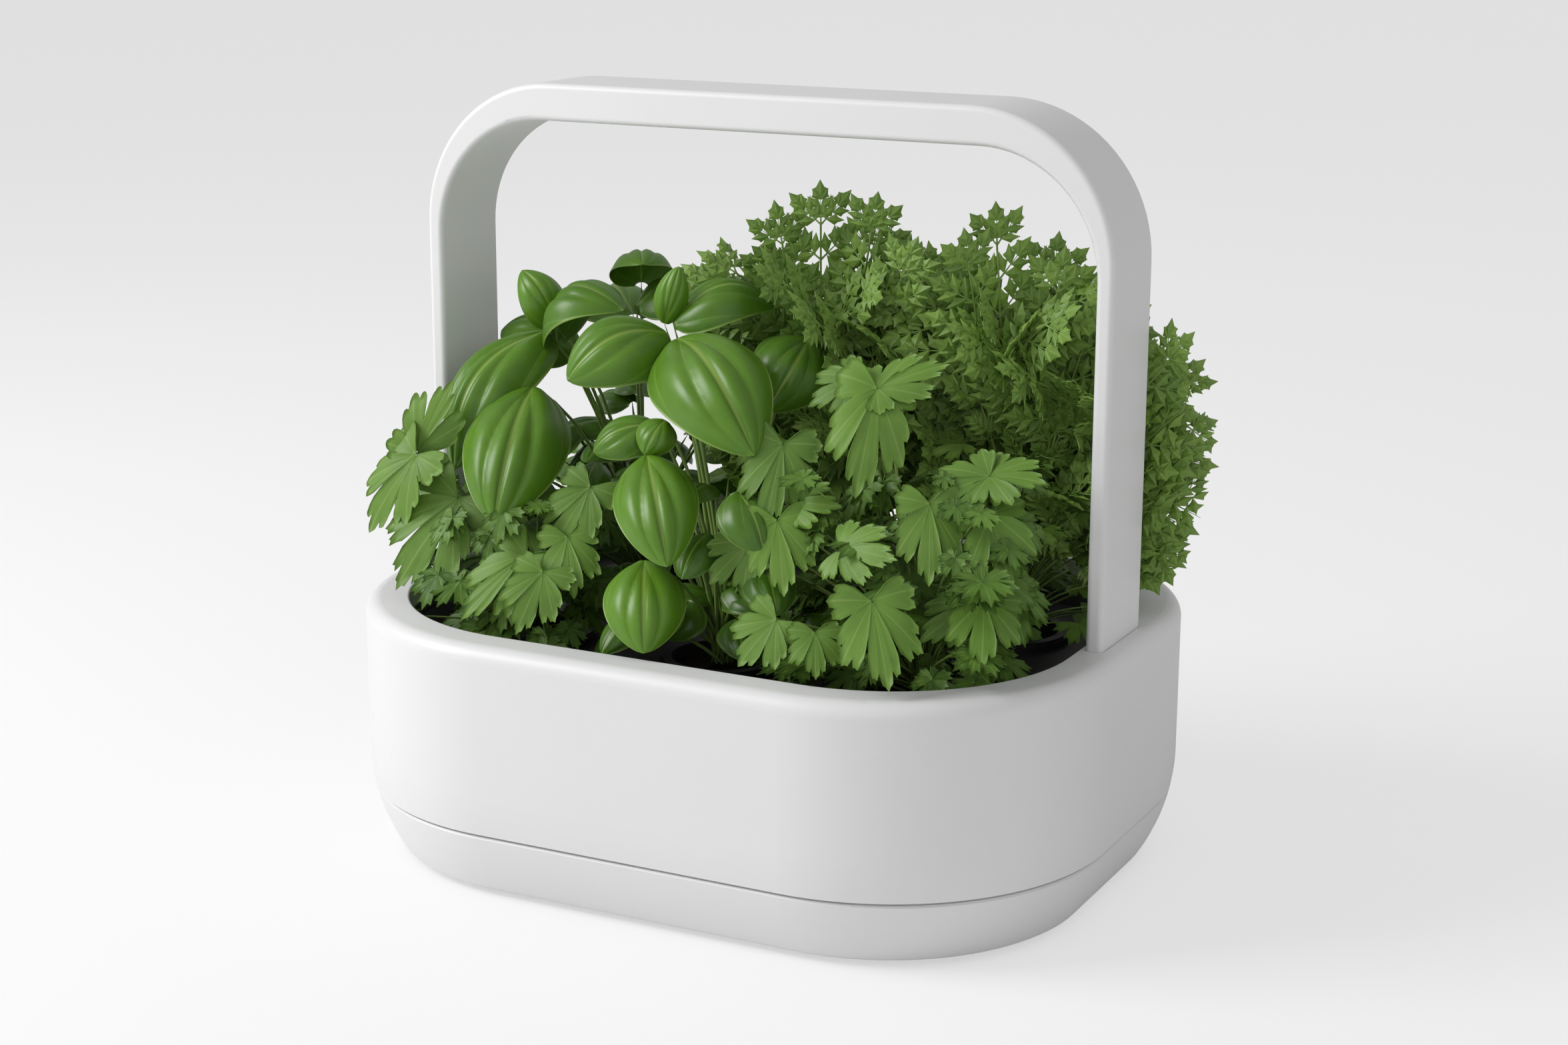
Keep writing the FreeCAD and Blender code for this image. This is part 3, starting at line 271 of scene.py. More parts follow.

# %% [markdown]
# ## Leaf finishes
# A leaf carries its own map: u runs from stalk to tip and v across, so veins can follow the leaf
# however it bends. The tone attribute blends each leaf between a dark green and a light green:
# partly the leaf's own random variety, partly painted shade and painted light, dark for leaves
# that sit in shade and light for lit ones.
# Light also passes through a leaf, which a small share of Translucent over the gloss gives.

# %% Leaf finishes
def leaf_finish(name, dark, light, vein, gloss, veins, through=0.16):
    """A leaf: colours, roughness, and the function that draws its veins from u and v."""
    finish = Finish(name)
    chart = finish.add("ShaderNodeUVMap", {"uv_map": "leaf"})
    split = finish.add("ShaderNodeSeparateXYZ", {}, [chart])
    along = Wire(finish, split.socket.node.outputs[0])
    across = Wire(finish, split.socket.node.outputs[1])
    tone = finish.add("ShaderNodeAttribute", {"attribute_name": "tone"}, out=2)
    blotch = finish.noise(120.0, 3.0)
    # Painted light and shade: the tone mixes the shaded dark green towards the lit light green.
    shade = (tone * 0.75 + blotch * 0.35 - 0.05).clamped()
    lines = veins(along, across)
    skin = finish.mix(shade, colour(*dark), colour(*light))
    pale = finish.noise(35.0, 2.0)
    skin = finish.mix(pale * 0.5, skin, colour(*[c * 1.3 for c in light]))
    skin = finish.mix((lines * 0.75).clamped(), skin, colour(*vein))
    finish.set(Base_Color=skin, Roughness=blotch * 0.12 + gloss,
               Normal=finish.bump(blotch - lines * 0.5, 0.25, 0.0006))
    glow = finish.add("ShaderNodeBsdfTranslucent", {}, {"Color": skin})
    both = finish.add("ShaderNodeMixShader", {}, {0: through, 2: glow})
    finish.tree.links.new(finish.surface.outputs[0], both.socket.node.inputs[1])
    finish.tree.links.new(both.socket, finish.output.inputs["Surface"])
    finishes[name] = finish.material


def stripes(value, count, sharp):
    """1 on thin lines, count of them per unit."""
    wave = (value * (count * math.pi)).math("SINE").math("ABSOLUTE")
    return (1.0 - wave * sharp).clamped()


BASIL_FOLDS = 1.7
BASIL_DRIFT = 1.0


def basil_veins(along, across):
    out = (across * 2.0 - 1.0).math("ABSOLUTE")
    midrib = (1.0 - out * 22.0).clamped()
    # The pale line along the margin is a painted highlight, where the rolled edge catches the
    # light.
    margin_highlight = ((out - 0.96) * 30.0).clamped()
    sides = stripes(out * BASIL_FOLDS - along * BASIL_DRIFT, 1.0, 7.0) * (1.0 - along)
    return midrib + sides * 0.5 + margin_highlight * 0.7


def fan_veins(along, across):
    main = stripes(across + 0.1, 5.0, 7.0)
    fine = stripes(across + 0.1, 15.0, 4.0)
    return main * (1.0 - along * 0.6) * 0.7 + fine * along * 0.25


def plain_veins(along, across):
    return (1.0 - (across * 2.0 - 1.0).math("ABSOLUTE") * 5.0).clamped() * 0.5


leaf_finish("basil_leaf", (0.020, 0.075, 0.004), (0.14, 0.31, 0.018), (0.34, 0.48, 0.10), 0.30,
            basil_veins)
leaf_finish("parsley_leaf", (0.022, 0.070, 0.008), (0.19, 0.36, 0.045), (0.36, 0.50, 0.14), 0.45,
            fan_veins)
leaf_finish("dill_leaf", (0.045, 0.12, 0.016), (0.26, 0.43, 0.07), (0.32, 0.48, 0.13), 0.45,
            plain_veins)
leaf_finish("stalk", (0.05, 0.13, 0.015), (0.26, 0.38, 0.09), (0.28, 0.40, 0.1), 0.4,
            plain_veins, 0.08)
print("leaf finishes ready")

# %% [markdown]
# ## Dressing the carried-over pieces
# The frame's record says what each piece is made of. One loop reads that and gives every piece its
# finish, so that none is forgotten and none is dressed by hand. Only the material changes:
# the meshes stay as they came.

# %% Give every carried-over piece its finish
slots = {part["node"]: part["material_slot"] for part in frame["record"]["subparts"]}
for name, item in nodes.items():
    finish = finishes[slots[name]]
    if not item.material_slots:
        item.data.materials.append(finish)
    for slot in item.material_slots:
        slot.material = finish
print(f"{len(slots)} nodes finished")

# %% [markdown]
# ## Building leaves
# Every leaf starts as a grid of points computed by a formula, because a formula bends, folds and
# puckers cleanly where sculpting would need hours. `Foliage` collects the grids of one plant: it
# turns each into a thin closed sheet with its map and tone, and makes one mesh at the end.

# %% Foliage collector
LEAF_THICK = 0.35 * MM
BLADE, STALK = 0, 1


class Foliage:
    """All the leaf and stalk surfaces of one plant."""

    def __init__(self, materials):
        self.materials = materials
        self.points = []
        self.faces = []
        self.uvs = []
        self.tones_and_shades = []
        self.slots = []
        self.count = 0

    def grid(self, points, uv, tone, slot, closed=False):
        """A sheet of rows x columns points. A closed one is a tube and gets no thickness."""
        rows, columns = points.shape[:2]
        flat = points.reshape(-1, 3)
        chart = uv.reshape(-1, 2)
        quads = []
        for row in range(rows - 1):
            for column in range(columns - 1):
                first = row * columns + column
                quads.append((first, first + 1, first + columns + 1, first + columns))
        quads = np.array(quads)
        if closed:
            self.append(flat, chart, quads, tone, slot)
            return
        normal = np.cross(np.gradient(points, axis=0), np.gradient(points, axis=1))
        length = np.linalg.norm(normal, axis=2, keepdims=True)
        normal = (normal / np.maximum(length, 1e-12)).reshape(-1, 3)
        under = flat - normal * LEAF_THICK * np.sign((normal[:, 2].sum() or 1.0))
        size = len(flat)
        rim = ([row * columns for row in range(rows)]
               + [(rows - 1) * columns + column for column in range(1, columns)]
               + [row * columns + columns - 1 for row in range(rows - 2, -1, -1)]
               + list(range(columns - 2, 0, -1)))
        edge = [(a, b, b + size, a + size) for a, b in zip(rim, rim[1:] + rim[:1])]
        top = quads if normal[:, 2].sum() < 0 else quads[:, ::-1]
        faces = np.concatenate([top[:, ::-1], top + size, np.array(edge)[:, ::-1]])
        self.append(np.concatenate([flat, under]), np.concatenate([chart, chart]), faces,
                    tone, slot)

    def append(self, points, chart, faces, tone, slot):
        self.points.append(points)
        self.uvs.append(chart)
        self.faces.append(faces + self.count)
        self.tones_and_shades.append(np.full(len(points), tone))
        self.slots.append(np.full(len(faces), slot))
        self.count += len(points)

    def mesh_object(self, name):
        points = np.concatenate(self.points)
        faces = np.concatenate(self.faces)
        mesh = bpy.data.meshes.new(name)
        mesh.from_pydata(points.tolist(), [], faces.tolist())
        for material in self.materials:
            mesh.materials.append(finishes[material])
        mesh.polygons.foreach_set("material_index", np.concatenate(self.slots).astype(np.int32))
        mesh.polygons.foreach_set("use_smooth", np.ones(len(faces), bool))
        chart = np.concatenate(self.uvs)
        loops = np.empty(len(mesh.loops), np.int32)
        mesh.loops.foreach_get("vertex_index", loops)
        layer = mesh.uv_layers.new(name="leaf")
        layer.data.foreach_set("uv", chart[loops].astype(np.float32).ravel())
        tone = mesh.attributes.new("tone", "FLOAT", "POINT")
        tone.data.foreach_set("value", np.concatenate(self.tones_and_shades).astype(np.float32))
        item = bpy.data.objects.new(name, mesh)
        bpy.context.scene.collection.objects.link(item)
        return item


def leaf_axes(base, tip, face):
    """Length, along, across and outward directions of a leaf from base to tip."""
    chord = np.asarray(tip, float) - np.asarray(base, float)
    length = np.linalg.norm(chord)
    along = chord / length
    out = np.asarray(face, float)
    out = out - along * out.dot(along)
    out = out / np.linalg.norm(out)
    return length, along, np.cross(out, along), out


print(f"leaves are {LEAF_THICK / MM:.2f} mm thick")

# %% [markdown]
# ## Basil leaves
# A basil leaf is a plump spoon: widest a little before the middle, arched from stalk to tip, with
# its margins rolled down. Between the deep, curved veins the blade swells up into long pillows. The
# swelling uses the same rule as the vein lines in the finish, so line and groove always agree.

# %% Basil leaf
FINE_BASIL, COARSE_BASIL = (40, 41), (15, 17)
BASIL_FOOT, BASIL_POINT, BASIL_WIDEST = 0.52, 0.72, 0.4255
BASIL_SWELL, BASIL_CREASE, CREASE_HALF = 0.034, 0.030, 0.06
BASIL_CUP = 0.55


def basil_leaf(plant, base, tip, width, face, arch, tone, fine):
    """A leaf from base to tip. A fine one has enough points to show its pillows close up."""
    rows, columns = FINE_BASIL if fine else COARSE_BASIL
    length, along, across, out = leaf_axes(base, tip, face)
    s = np.linspace(0.0, 1.0, rows)[:, None]
    t = np.linspace(-1.0, 1.0, columns)[None, :]
    inside = np.clip(s, 0.012, 0.9995)
    outline = inside ** BASIL_FOOT * (1 - inside) ** BASIL_POINT
    half = width * 0.5 * outline / BASIL_WIDEST
    side = np.sign(t) * np.abs(t) ** 0.9
    rise = arch * length * 4 * s * (1 - s) ** 0.9
    folds = np.abs(t) * BASIL_FOLDS - s * BASIL_DRIFT
    fade = np.sin(np.pi * s) ** 0.6 * (1 - np.abs(t) ** 6)
    pillow = np.abs(np.sin(np.pi * folds)) ** 0.7 * fade * BASIL_SWELL * length
    crease = np.exp(-(t / CREASE_HALF) ** 2) * fade * BASIL_CREASE * length
    sag = BASIL_CUP * half * np.abs(t) ** 2.1
    height = rise - sag + pillow - crease
    wide = half * side * (1 - 0.16 * BASIL_CUP * t * t)
    points = (np.asarray(base)[None, None] + along * (s * length)[..., None]
              + across * wide[..., None] + out * height[..., None])
    uv = np.stack([np.broadcast_to(s, wide.shape), np.broadcast_to(t * 0.5 + 0.5, wide.shape)], 2)
    plant.grid(points * MM, uv, tone, BLADE)


sample = Foliage([])
basil_leaf(sample, (0, 0, 0), (40, 0, 0), 26, (0, 0, 1), 0.2, 0.5, True)
print(f"one basil leaf: {len(sample.faces[0])} faces")

# %% [markdown]
# ## Fan leaves
# Parsley leaves are fans: lobes spread from the end of the stalk, each cut into blunt teeth, and
# the blade is pleated along its veins. One polar grid makes the fan. Its outer radius is a sum
# of a lobe wave and a finer tooth wave, and the pleats ripple across the same angle.

# %% Fan leaf
LOBES = 5
FAN_SPREAD = 2.1
FAN_ARCH = 0.2
FINE_FAN, COARSE_FAN = (8, LOBES * 18 + 1), (4, LOBES * 6 + 1)


def fan_leaf(plant, base, tip, width, face, rng, tone, fine=True):
    """A lobed fan from the end of its stalk to the tip of the middle lobe."""
    rows, columns = FINE_FAN if fine else COARSE_FAN
    length, along, across, out = leaf_axes(base, tip, face)
    r = np.linspace(0.02, 1.0, rows)[:, None]
    t = np.linspace(-1.0, 1.0, columns)[None, :]
    angle = t * FAN_SPREAD
    lobe = np.abs(np.cos(np.pi * LOBES / 2 * t)) ** 0.55
    tooth = np.abs(np.cos(np.pi * LOBES * 1.5 * t)) ** 0.8
    nick = np.abs(np.cos(np.pi * LOBES * 4.5 * t + rng.uniform(0, 0.8)))
    envelope = 0.74 + 0.26 * np.cos(angle * 0.9)
    reach = length * envelope * (0.44 + 0.40 * lobe + 0.14 * tooth + 0.06 * nick)
    squeeze = np.clip(width / (1.75 * length), 0.5, 1.6)
    x = r * reach * np.cos(angle)
    y = r * reach * np.sin(angle) * squeeze
    pleat = (0.04 * lobe + 0.02 * tooth) * length * r ** 1.4 - 0.03 * length * r
    drop = FAN_ARCH * length * (r * (reach / length)) ** 2 * 1.3
    wave = 0.03 * length * np.sin(3 * angle + rng.uniform(0, 6)) * r ** 2
    height = pleat - drop + wave + FAN_ARCH * length * 0.5 * r
    points = (np.asarray(base)[None, None] + along * x[..., None] + across * y[..., None]
              + out * height[..., None])
    uv = np.stack([np.broadcast_to(r, x.shape), np.broadcast_to(t * 0.5 + 0.5, x.shape)], 2)
    plant.grid(points * MM, uv, tone, BLADE)


sample = Foliage([])
fan_leaf(sample, (0, 0, 0), (30, 0, 0), 30, (0, 0, 1), np.random.default_rng(0), 0.5)
print(f"one fan leaf: {len(sample.faces[0])} faces")

# %% [markdown]
# ## Stalks
# A stalk is a thin tube along a curve that leaves the plug nearly upright and bends over to meet
# the leaf along its midrib. Three points are enough for a smooth quadratic curve.

# %% Stalk
STALK_STEPS, STALK_SIDES = 8, 6
STALK_TAPER = 0.4
END_SHARE = 0.2


def stalk(plant, start, end, lean, thick, tone):
    """A tapering tube from start to end, bent towards lean and pinched at both ends."""
    start, end = np.asarray(start, float), np.asarray(end, float)
    middle = np.asarray(lean, float)
    s = np.linspace(0, 1, STALK_STEPS)[:, None]
    path = start * (1 - s) ** 2 + middle * 2 * s * (1 - s) + end * s ** 2
    tangent = np.gradient(path, axis=0)
    tangent /= np.linalg.norm(tangent, axis=1, keepdims=True)
    side = np.cross(tangent, [0.31, 0.83, 0.46])
    side /= np.linalg.norm(side, axis=1, keepdims=True)
    other = np.cross(tangent, side)
    turn = np.linspace(0, 2 * np.pi, STALK_SIDES + 1)[None, :, None]
    radius = (thick * (1 - STALK_TAPER * s))[:, None] * 0.5
    radius[[0, -1]] *= END_SHARE
    points = path[:, None] + radius * (side[:, None] * np.cos(turn) + other[:, None] * np.sin(turn))
    shape = (STALK_STEPS, STALK_SIDES + 1)
    uv = np.stack([np.broadcast_to(s, shape),
                   np.broadcast_to(turn[..., 0] / (2 * np.pi), shape)], 2)
    plant.grid(points * MM, uv, tone, STALK, closed=True)


sample = Foliage([])
stalk(sample, (0, 0, 0), (0, 20, 60), (0, 0, 50), 2.0, 0.5)
print(f"one stalk: {len(sample.faces[0])} faces")

# %% [markdown]
# ## Room for the arch
# The legs of the arch slide up and down at both ends, so no leaf may stand in their way, and
# nothing reaches past the garden's own box. Growth is trimmed by whole leaves, as scissors would
# do it: points that are joined by edges belong to one leaf, and one bad point dooms them all.

# %% Trimming
LEG_NEAR, LEG_HALF = 159.0, 26.5
BAR_UNDERSIDE = 328.0
BOX_EDGE = 187.0
RIM_TOP = 121.0
OPENING_LENGTH, OPENING_WIDTH = 158.0, 120.0


def island_numbers(mesh):
    """For every point, the lowest number among the points that it is joined to."""
    ends = np.empty(len(mesh.edges) * 2, np.int32)
    mesh.edges.foreach_get("vertices", ends)
    first, second = ends.reshape(-1, 2).T
    island = np.arange(len(mesh.vertices))
    while True:
        lowest = island.copy()
        np.minimum.at(lowest, first, island[second])
        np.minimum.at(lowest, second, island[first])
        if np.array_equal(lowest, island):
            return island
        island = lowest


def keep_clear(item):
    """Take out whole leaflets that would touch the arch or stand past the garden's box."""
    mesh = item.data
    count = len(mesh.vertices)
    places = np.empty(count * 3, np.float32)
    mesh.vertices.foreach_get("co", places)
    x, y, z = np.abs(places.reshape(-1, 3)).T / MM
    bad = (y < LEG_HALF) & ((x > LEG_NEAR) | (z > BAR_UNDERSIDE))
    bad |= x > BOX_EDGE
    bad |= (z < RIM_TOP) & ((x > OPENING_LENGTH) | (y > OPENING_WIDTH))
    island = island_numbers(mesh)
    doomed = np.isin(island, np.unique(island[bad]))
    work = bmesh.new()
    work.from_mesh(mesh)
    work.verts.ensure_lookup_table()
    bmesh.ops.delete(work, geom=[work.verts[i] for i in np.flatnonzero(doomed)], context="VERTS")
    work.to_mesh(mesh)
    work.free()
    print(f"{item.name}: {int(doomed.sum())} of {count} points trimmed")

# %% [markdown]
# ## Where the plants stand
# Each herb grows from one of the six cups. The leaves that catch the eye are placed one by one,
# base and tip in millimetres, so that the crown of the garden has the right outline. Behind and
# below them, seeded random leaves fill the plant as real growth does.

# %% Plant places
CUP_PITCH, CUP_ROW, SOIL = 98.0, 50.0, 99.0
TO_CAMERA = np.array((0.46, -0.85, 0.27))
UP = np.array((0.0, 0.0, 1.0))


def crown(column, row):
    return np.array((CUP_PITCH * column, CUP_ROW * row, SOIL))


def facing(toward=0.7, lift=0.6, side=0.0):
    """The way a leaf's upper face looks: part towards the viewer's side, part up."""
    return TO_CAMERA * toward + UP * lift + np.array((side, 0.0, 0.0))


# The last number of each leaf is its tone: painted light and shade, high for lit leaves and low for
# shaded ones.
BASIL_LEAVES = {
    "basil_left": [
        ((-113, -5, 228), (-66, -22, 250), 42, facing(0.5, 1.0), 0.34, 0.2),
        ((-112, -6, 236), (-128, -10, 262), 24, facing(0.8, 0.5), 0.30, 0.6),
        ((-116, -10, 234), (-134, -62, 176), 46, facing(0.9, 0.5, -0.5), 0.24, 0.45),
        ((-104, -40, 214), (-90, -97, 164), 52, facing(0.9, 0.5), 0.16, 0.55),
        ((-110, 10, 222), (-150, 5, 229), 40, facing(0.5, 1.0), 0.25, 0.3),
        ((-95, 40, 240), (-60, 75, 245), 44, facing(0.2, 1.0), 0.25, 0.4),
        ((-100, 45, 235), (-140, 80, 225), 44, facing(0.2, 1.0), 0.25, 0.4),
        ((-98, 50, 250), (-80, 20, 264), 34, facing(0.3, 1.0), 0.25, 0.5)],
    "basil_front": [
        ((-36, -35, 244), (-66, -72, 226), 44, facing(0.8, 0.7), 0.26, 0.45),
        ((-28, -40, 243), (34, -84, 205), 56, facing(1.0, 0.5), 0.20, 0.55),
        ((-37, -28, 248), (-2, 4, 253), 36, facing(0.4, 1.0), 0.28, 0.3),
        ((-40, -30, 247), (-34, -27, 273), 17, facing(1.0, 0.1), 0.10, 0.8),
        ((-18, -85, 200), (12, -121, 162), 40, facing(1.0, 0.3), 0.16, 0.6),
        ((-11, -100, 157), (3, -126, 124), 39, facing(1.0, 0.3), 0.16, 0.75),
        ((-14, -76, 214), (-19, -86, 200), 20, facing(1.0, 0.5), 0.20, 0.5),
        ((-22, -70, 210), (-46, -84, 198), 26, facing(0.8, 0.8), 0.20, 0.4),
        ((18, 0, 240), (12, -30, 212), 40, facing(0.8, 0.6, 0.4), 0.28, 0.15)],
}

# The last number of each fan is its tone: painted light and shade, high for lit fans and low for
# shaded ones.
FAN_LEAVES = {
    "parsley_left": [
        ((-139, -85, 187), (-163, -96, 152), 34, facing(0.9, 0.5, -0.2), 0.55),
        ((-142, -80, 187), (-128, -73, 219), 34, facing(1.0, 0.2), 0.65),
        ((-120, -80, 168), (-140, -106, 132), 52, facing(1.0, 0.4, -0.2), 0.5),
        ((-75, -95, 150), (-93, -121, 127), 36, facing(0.9, 0.7), 0.6),
        ((-61, -103, 146), (-63, -123, 125), 34, facing(1.0, 0.5), 0.5),
        ((-56, -70, 178), (-65, -92, 153), 34, facing(0.9, 0.6), 0.45),
        ((-59, -85, 158), (-46, -102, 138), 32, facing(0.9, 0.7), 0.6),
        ((-100, -60, 158), (-78, -82, 150), 36, facing(0.8, 0.7), 0.3),
        ((-156, -48, 166), (-186.5, -46, 156), 26, facing(0.8, 0.7, -0.2), 0.35)],
    "parsley_right": [
        ((43, -75, 209), (46, -97, 180), 38, facing(0.9, 0.6), 0.3),
        ((47, -80, 184), (73, -86, 190), 30, facing(0.9, 0.6), 0.55),
        ((49, -92, 180), (60, -107, 154), 36, facing(1.0, 0.4), 0.75),
        ((80, -60, 234), (84, -88, 196), 42, facing(1.0, 0.4), 0.65),
        ((80, -60, 234), (106, -48, 246), 28, facing(0.9, 0.6), 0.6),
        ((66, -50, 235), (48, -62, 226), 34, facing(0.7, 0.8), 0.35),
        ((133, -62, 202), (112, -78, 194), 36, facing(0.8, 0.8), 0.45),
        ((133, -62, 202), (158, -66, 205), 34, facing(0.8, 0.8), 0.5),
        ((114, -80, 192), (122, -97, 164), 34, facing(1.0, 0.4), 0.6),
        ((137, -70, 188), (154, -86, 165), 36, facing(0.9, 0.6), 0.4),
        ((140, -82, 154), (150, -106, 137), 38, facing(0.9, 0.6), 0.4),
        ((136, -80, 153), (118, -97, 139), 32, facing(0.9, 0.7), 0.35),
        ((102, -110, 156), (119, -129, 128), 42, facing(0.9, 0.6), 0.65),
        ((58, -110, 142), (46, -123, 125), 34, facing(0.9, 0.6), 0.6),
        ((80, -95, 172), (106, -101, 174), 34, facing(1.0, 0.4), 0.7),
        ((36, -90, 169), (20, -101, 152), 34, facing(0.9, 0.6), 0.5),
        ((76, -110, 139), (84, -125, 126), 28, facing(0.9, 0.6), 0.45),
        ((132, -52, 158), (146, -66, 138), 34, facing(0.9, 0.6), 0.35),
        ((136, -45, 148), (150, -60, 132), 32, facing(0.9, 0.6), 0.3),
        ((118, -56, 162), (130, -74, 142), 34, facing(0.9, 0.6), 0.35)],
}
placed = {name: len(rows) for name, rows in {**BASIL_LEAVES, **FAN_LEAVES}.items()}
print(f"leaves placed by hand: {placed}")

# %% [markdown]
# ## Inner leaves
# Inside a plant, leaves stand round the stem at the golden angle, so that no two shade each other.
# `whorl` gives their places by that rule. `undergrowth` adds small random ones near the foot,
# which close the view through to the deck.

# %% Inner leaves
GOLDEN_TURN = math.radians(137.5)
GROWTH_LENGTH, GROWTH_WIDTH = 156.0, 118.0


def whorl(root, count, turn, heights, reach, size, droop=0.3, narrow=0.74):
    """Base, tip, width and facing of leaves round the stem. Heights are above the table."""
    leaves = []
    for index in range(count):
        angle = math.radians(turn) + GOLDEN_TURN * index
        heading = np.array((math.cos(angle), math.sin(angle), 0.0))
        level = heights[0] + (heights[1] - heights[0]) * ((index * 0.618) % 1.0)
        out = reach[0] + (reach[1] - reach[0]) * ((index * 0.37) % 1.0)
        base = np.array((root[0], root[1], level)) + heading * out
        length = size[0] + (size[1] - size[0]) * ((index * 0.71) % 1.0)
        fall = droop * (1.6 * ((index * 0.53) % 1.0) - 0.3)
        tip = base + heading * length * 0.9 - UP * length * fall
        leaves.append((base, tip, length * narrow, heading * 0.4 + UP))
    return leaves


def undergrowth(rng, root, count, cell, heights, size):
    """Random small leaves inside a plant's own cell: base, tip, width and facing."""
    leaves = []
    for _ in range(count):
        base = np.array([rng.uniform(*cell[0]), rng.uniform(*cell[1]), rng.uniform(*heights)])
        out = (base - root) * (1, 1, 0)
        heading = out / max(np.linalg.norm(out), 1.0) + rng.uniform(-0.4, 0.4, 3) * (1, 1, 0)
        length = rng.uniform(*size)
        tip = base + heading * length * 0.7 - UP * length * rng.uniform(0.0, 0.7)
        tip[0] = np.clip(tip[0], -GROWTH_LENGTH, GROWTH_LENGTH)
        tip[1] = np.clip(tip[1], -GROWTH_WIDTH, GROWTH_WIDTH)
        leaves.append((base, tip, length * 0.8, heading * 0.5 + UP + TO_CAMERA * 0.4))
    return leaves


print(f"inner leaves turn by {math.degrees(GOLDEN_TURN):.1f} degrees")

# %% [markdown]
# ## Growing the basil and the parsley
# The placed leaves come first, then the whorl, then the undergrowth, each with its own stalk.
# Tone falls towards the foot: the low leaves are coloured darker as painted shade, where the plant
# shades itself, and old leaves are darker too.

# %% Broad-leaved plants
FOOT_SPREAD = 4.0
THREE_FAN_SPLAY = 1.35
BASIL_STALK, PARSLEY_STALK, LOW_PARSLEY_STALK = 2.2, 1.6, 1.4


def stalk_foot(root, rng):
    """Where a stalk leaves the plug: near the root, at its level."""
    return root + rng.uniform(-FOOT_SPREAD, FOOT_SPREAD, 3) * (1, 1, 0)


def towards_stem(base, root, share=0.55):
    """A bend point for a stalk: above the root, on the way to the leaf."""
    base, root = np.asarray(base, float), np.asarray(root, float)
    bend = root * (1 - share * 0.6) + base * share * 0.6
    bend[2] = root[2] + (base[2] - root[2]) * 0.72
    return bend


def grow_basil(name, root, inner, cell, count, seed):
    rng = np.random.default_rng(seed)
    plant = Foliage(["basil_leaf", "stalk"])
    rows = list(BASIL_LEAVES[name])
    # The whorl gets tone 0.25 and the undergrowth 0.05: painted shade, deep inside the plant.
    rows += [(*leaf, 0.2, 0.25) for leaf in inner]
    rows += [(*leaf, 0.15, 0.05) for leaf in undergrowth(rng, root, count, cell, (118, 190),
                                                         (24, 38))]
    for base, tip, width, face, arch, tone in rows:
        basil_leaf(plant, base, tip, width, face, arch, tone, fine=tone > 0.1)
        start = stalk_foot(root, rng)
        stalk(plant, start, base, towards_stem(base, root), BASIL_STALK, 0.5)
    item = plant.mesh_object(f"{name}_leaves")
    keep_clear(item)
    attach(item, "housing")
    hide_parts(name)
    print(f"{name}: {len(item.data.polygons)} faces")


def three_fans(plant, base, tip, face, rng, tone):
    """A low leaf: one small fan ahead and a smaller one on each side of it."""
    chord = tip - base
    for side in (-THREE_FAN_SPLAY, 0.0, THREE_FAN_SPLAY):
        turned = np.array((chord[0] * math.cos(side) - chord[1] * math.sin(side),
                           chord[0] * math.sin(side) + chord[1] * math.cos(side), chord[2]))
        share = 0.8 if side else 1.0
        fan_leaf(plant, base, base + turned * share, np.linalg.norm(chord) * 1.4 * share,
                 face, rng, tone, fine=False)


def grow_parsley(name, root, inner, cell, count, heights, seed):
    rng = np.random.default_rng(seed)
    plant = Foliage(["parsley_leaf", "stalk"])
    for base, tip, width, face, tone in FAN_LEAVES[name]:
        fan_leaf(plant, base, tip, width, face, rng, tone)
        start = stalk_foot(root, rng)
        stalk(plant, start, base, towards_stem(base, root), PARSLEY_STALK, 0.9)
    # Inner and low leaves get a low tone: painted shade inside the plant.
    small = [(leaf, 0.3) for leaf in inner]
    small += [(leaf, rng.uniform(0.0, 0.35)) for leaf in undergrowth(rng, root, count, cell,
                                                                    heights, (14, 22))]
    for (base, tip, _, face), tone in small:
        start = stalk_foot(root, rng)
        stalk(plant, start, base, towards_stem(base, root), LOW_PARSLEY_STALK, tone + 0.3)
        three_fans(plant, base, tip, face, rng, tone)
    item = plant.mesh_object(f"{name}_leaves")
    keep_clear(item)
    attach(item, "housing")
    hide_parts(name)
    print(f"{name}: {len(item.data.polygons)} faces")


left, middle, front_left, front_right = crown(-1, 1), crown(0, -1), crown(-1, -1), crown(1, -1)
grow_basil("basil_left", left, whorl(left, 6, 75, (135, 205), (8, 14), (32, 42)),
           ((-145, -58), (-25, 90)), 46, 11)
grow_basil("basil_front", middle, whorl(middle, 4, 200, (128, 190), (4, 9), (26, 34)),
           ((-40, 36), (-90, -10)), 34, 12)
grow_parsley("parsley_left", front_left,
             whorl(front_left, 5, 100, (122, 150), (16, 36), (16, 22), 0.2, 1.9),
             ((-145, -58), (-98, -34)), 50, (108, 172), 21)
grow_parsley("parsley_right", front_right,
             whorl(front_right, 6, 20, (122, 205), (12, 34), (16, 24), 0.2, 1.9),
             ((40, 150), (-100, -32)), 80, (108, 205), 22)

# %% [markdown]
# ## Feathery fronds
# The fine herb repeats one small lobed leaflet hundreds of times along its fronds, the kind of
# work that Geometry Nodes is for. The tree resamples each frond's curve, stands leaflets on
# both sides of it with a size that tapers to the tip, gives the frond a thin round midrib, and
# realises everything so that it exports.

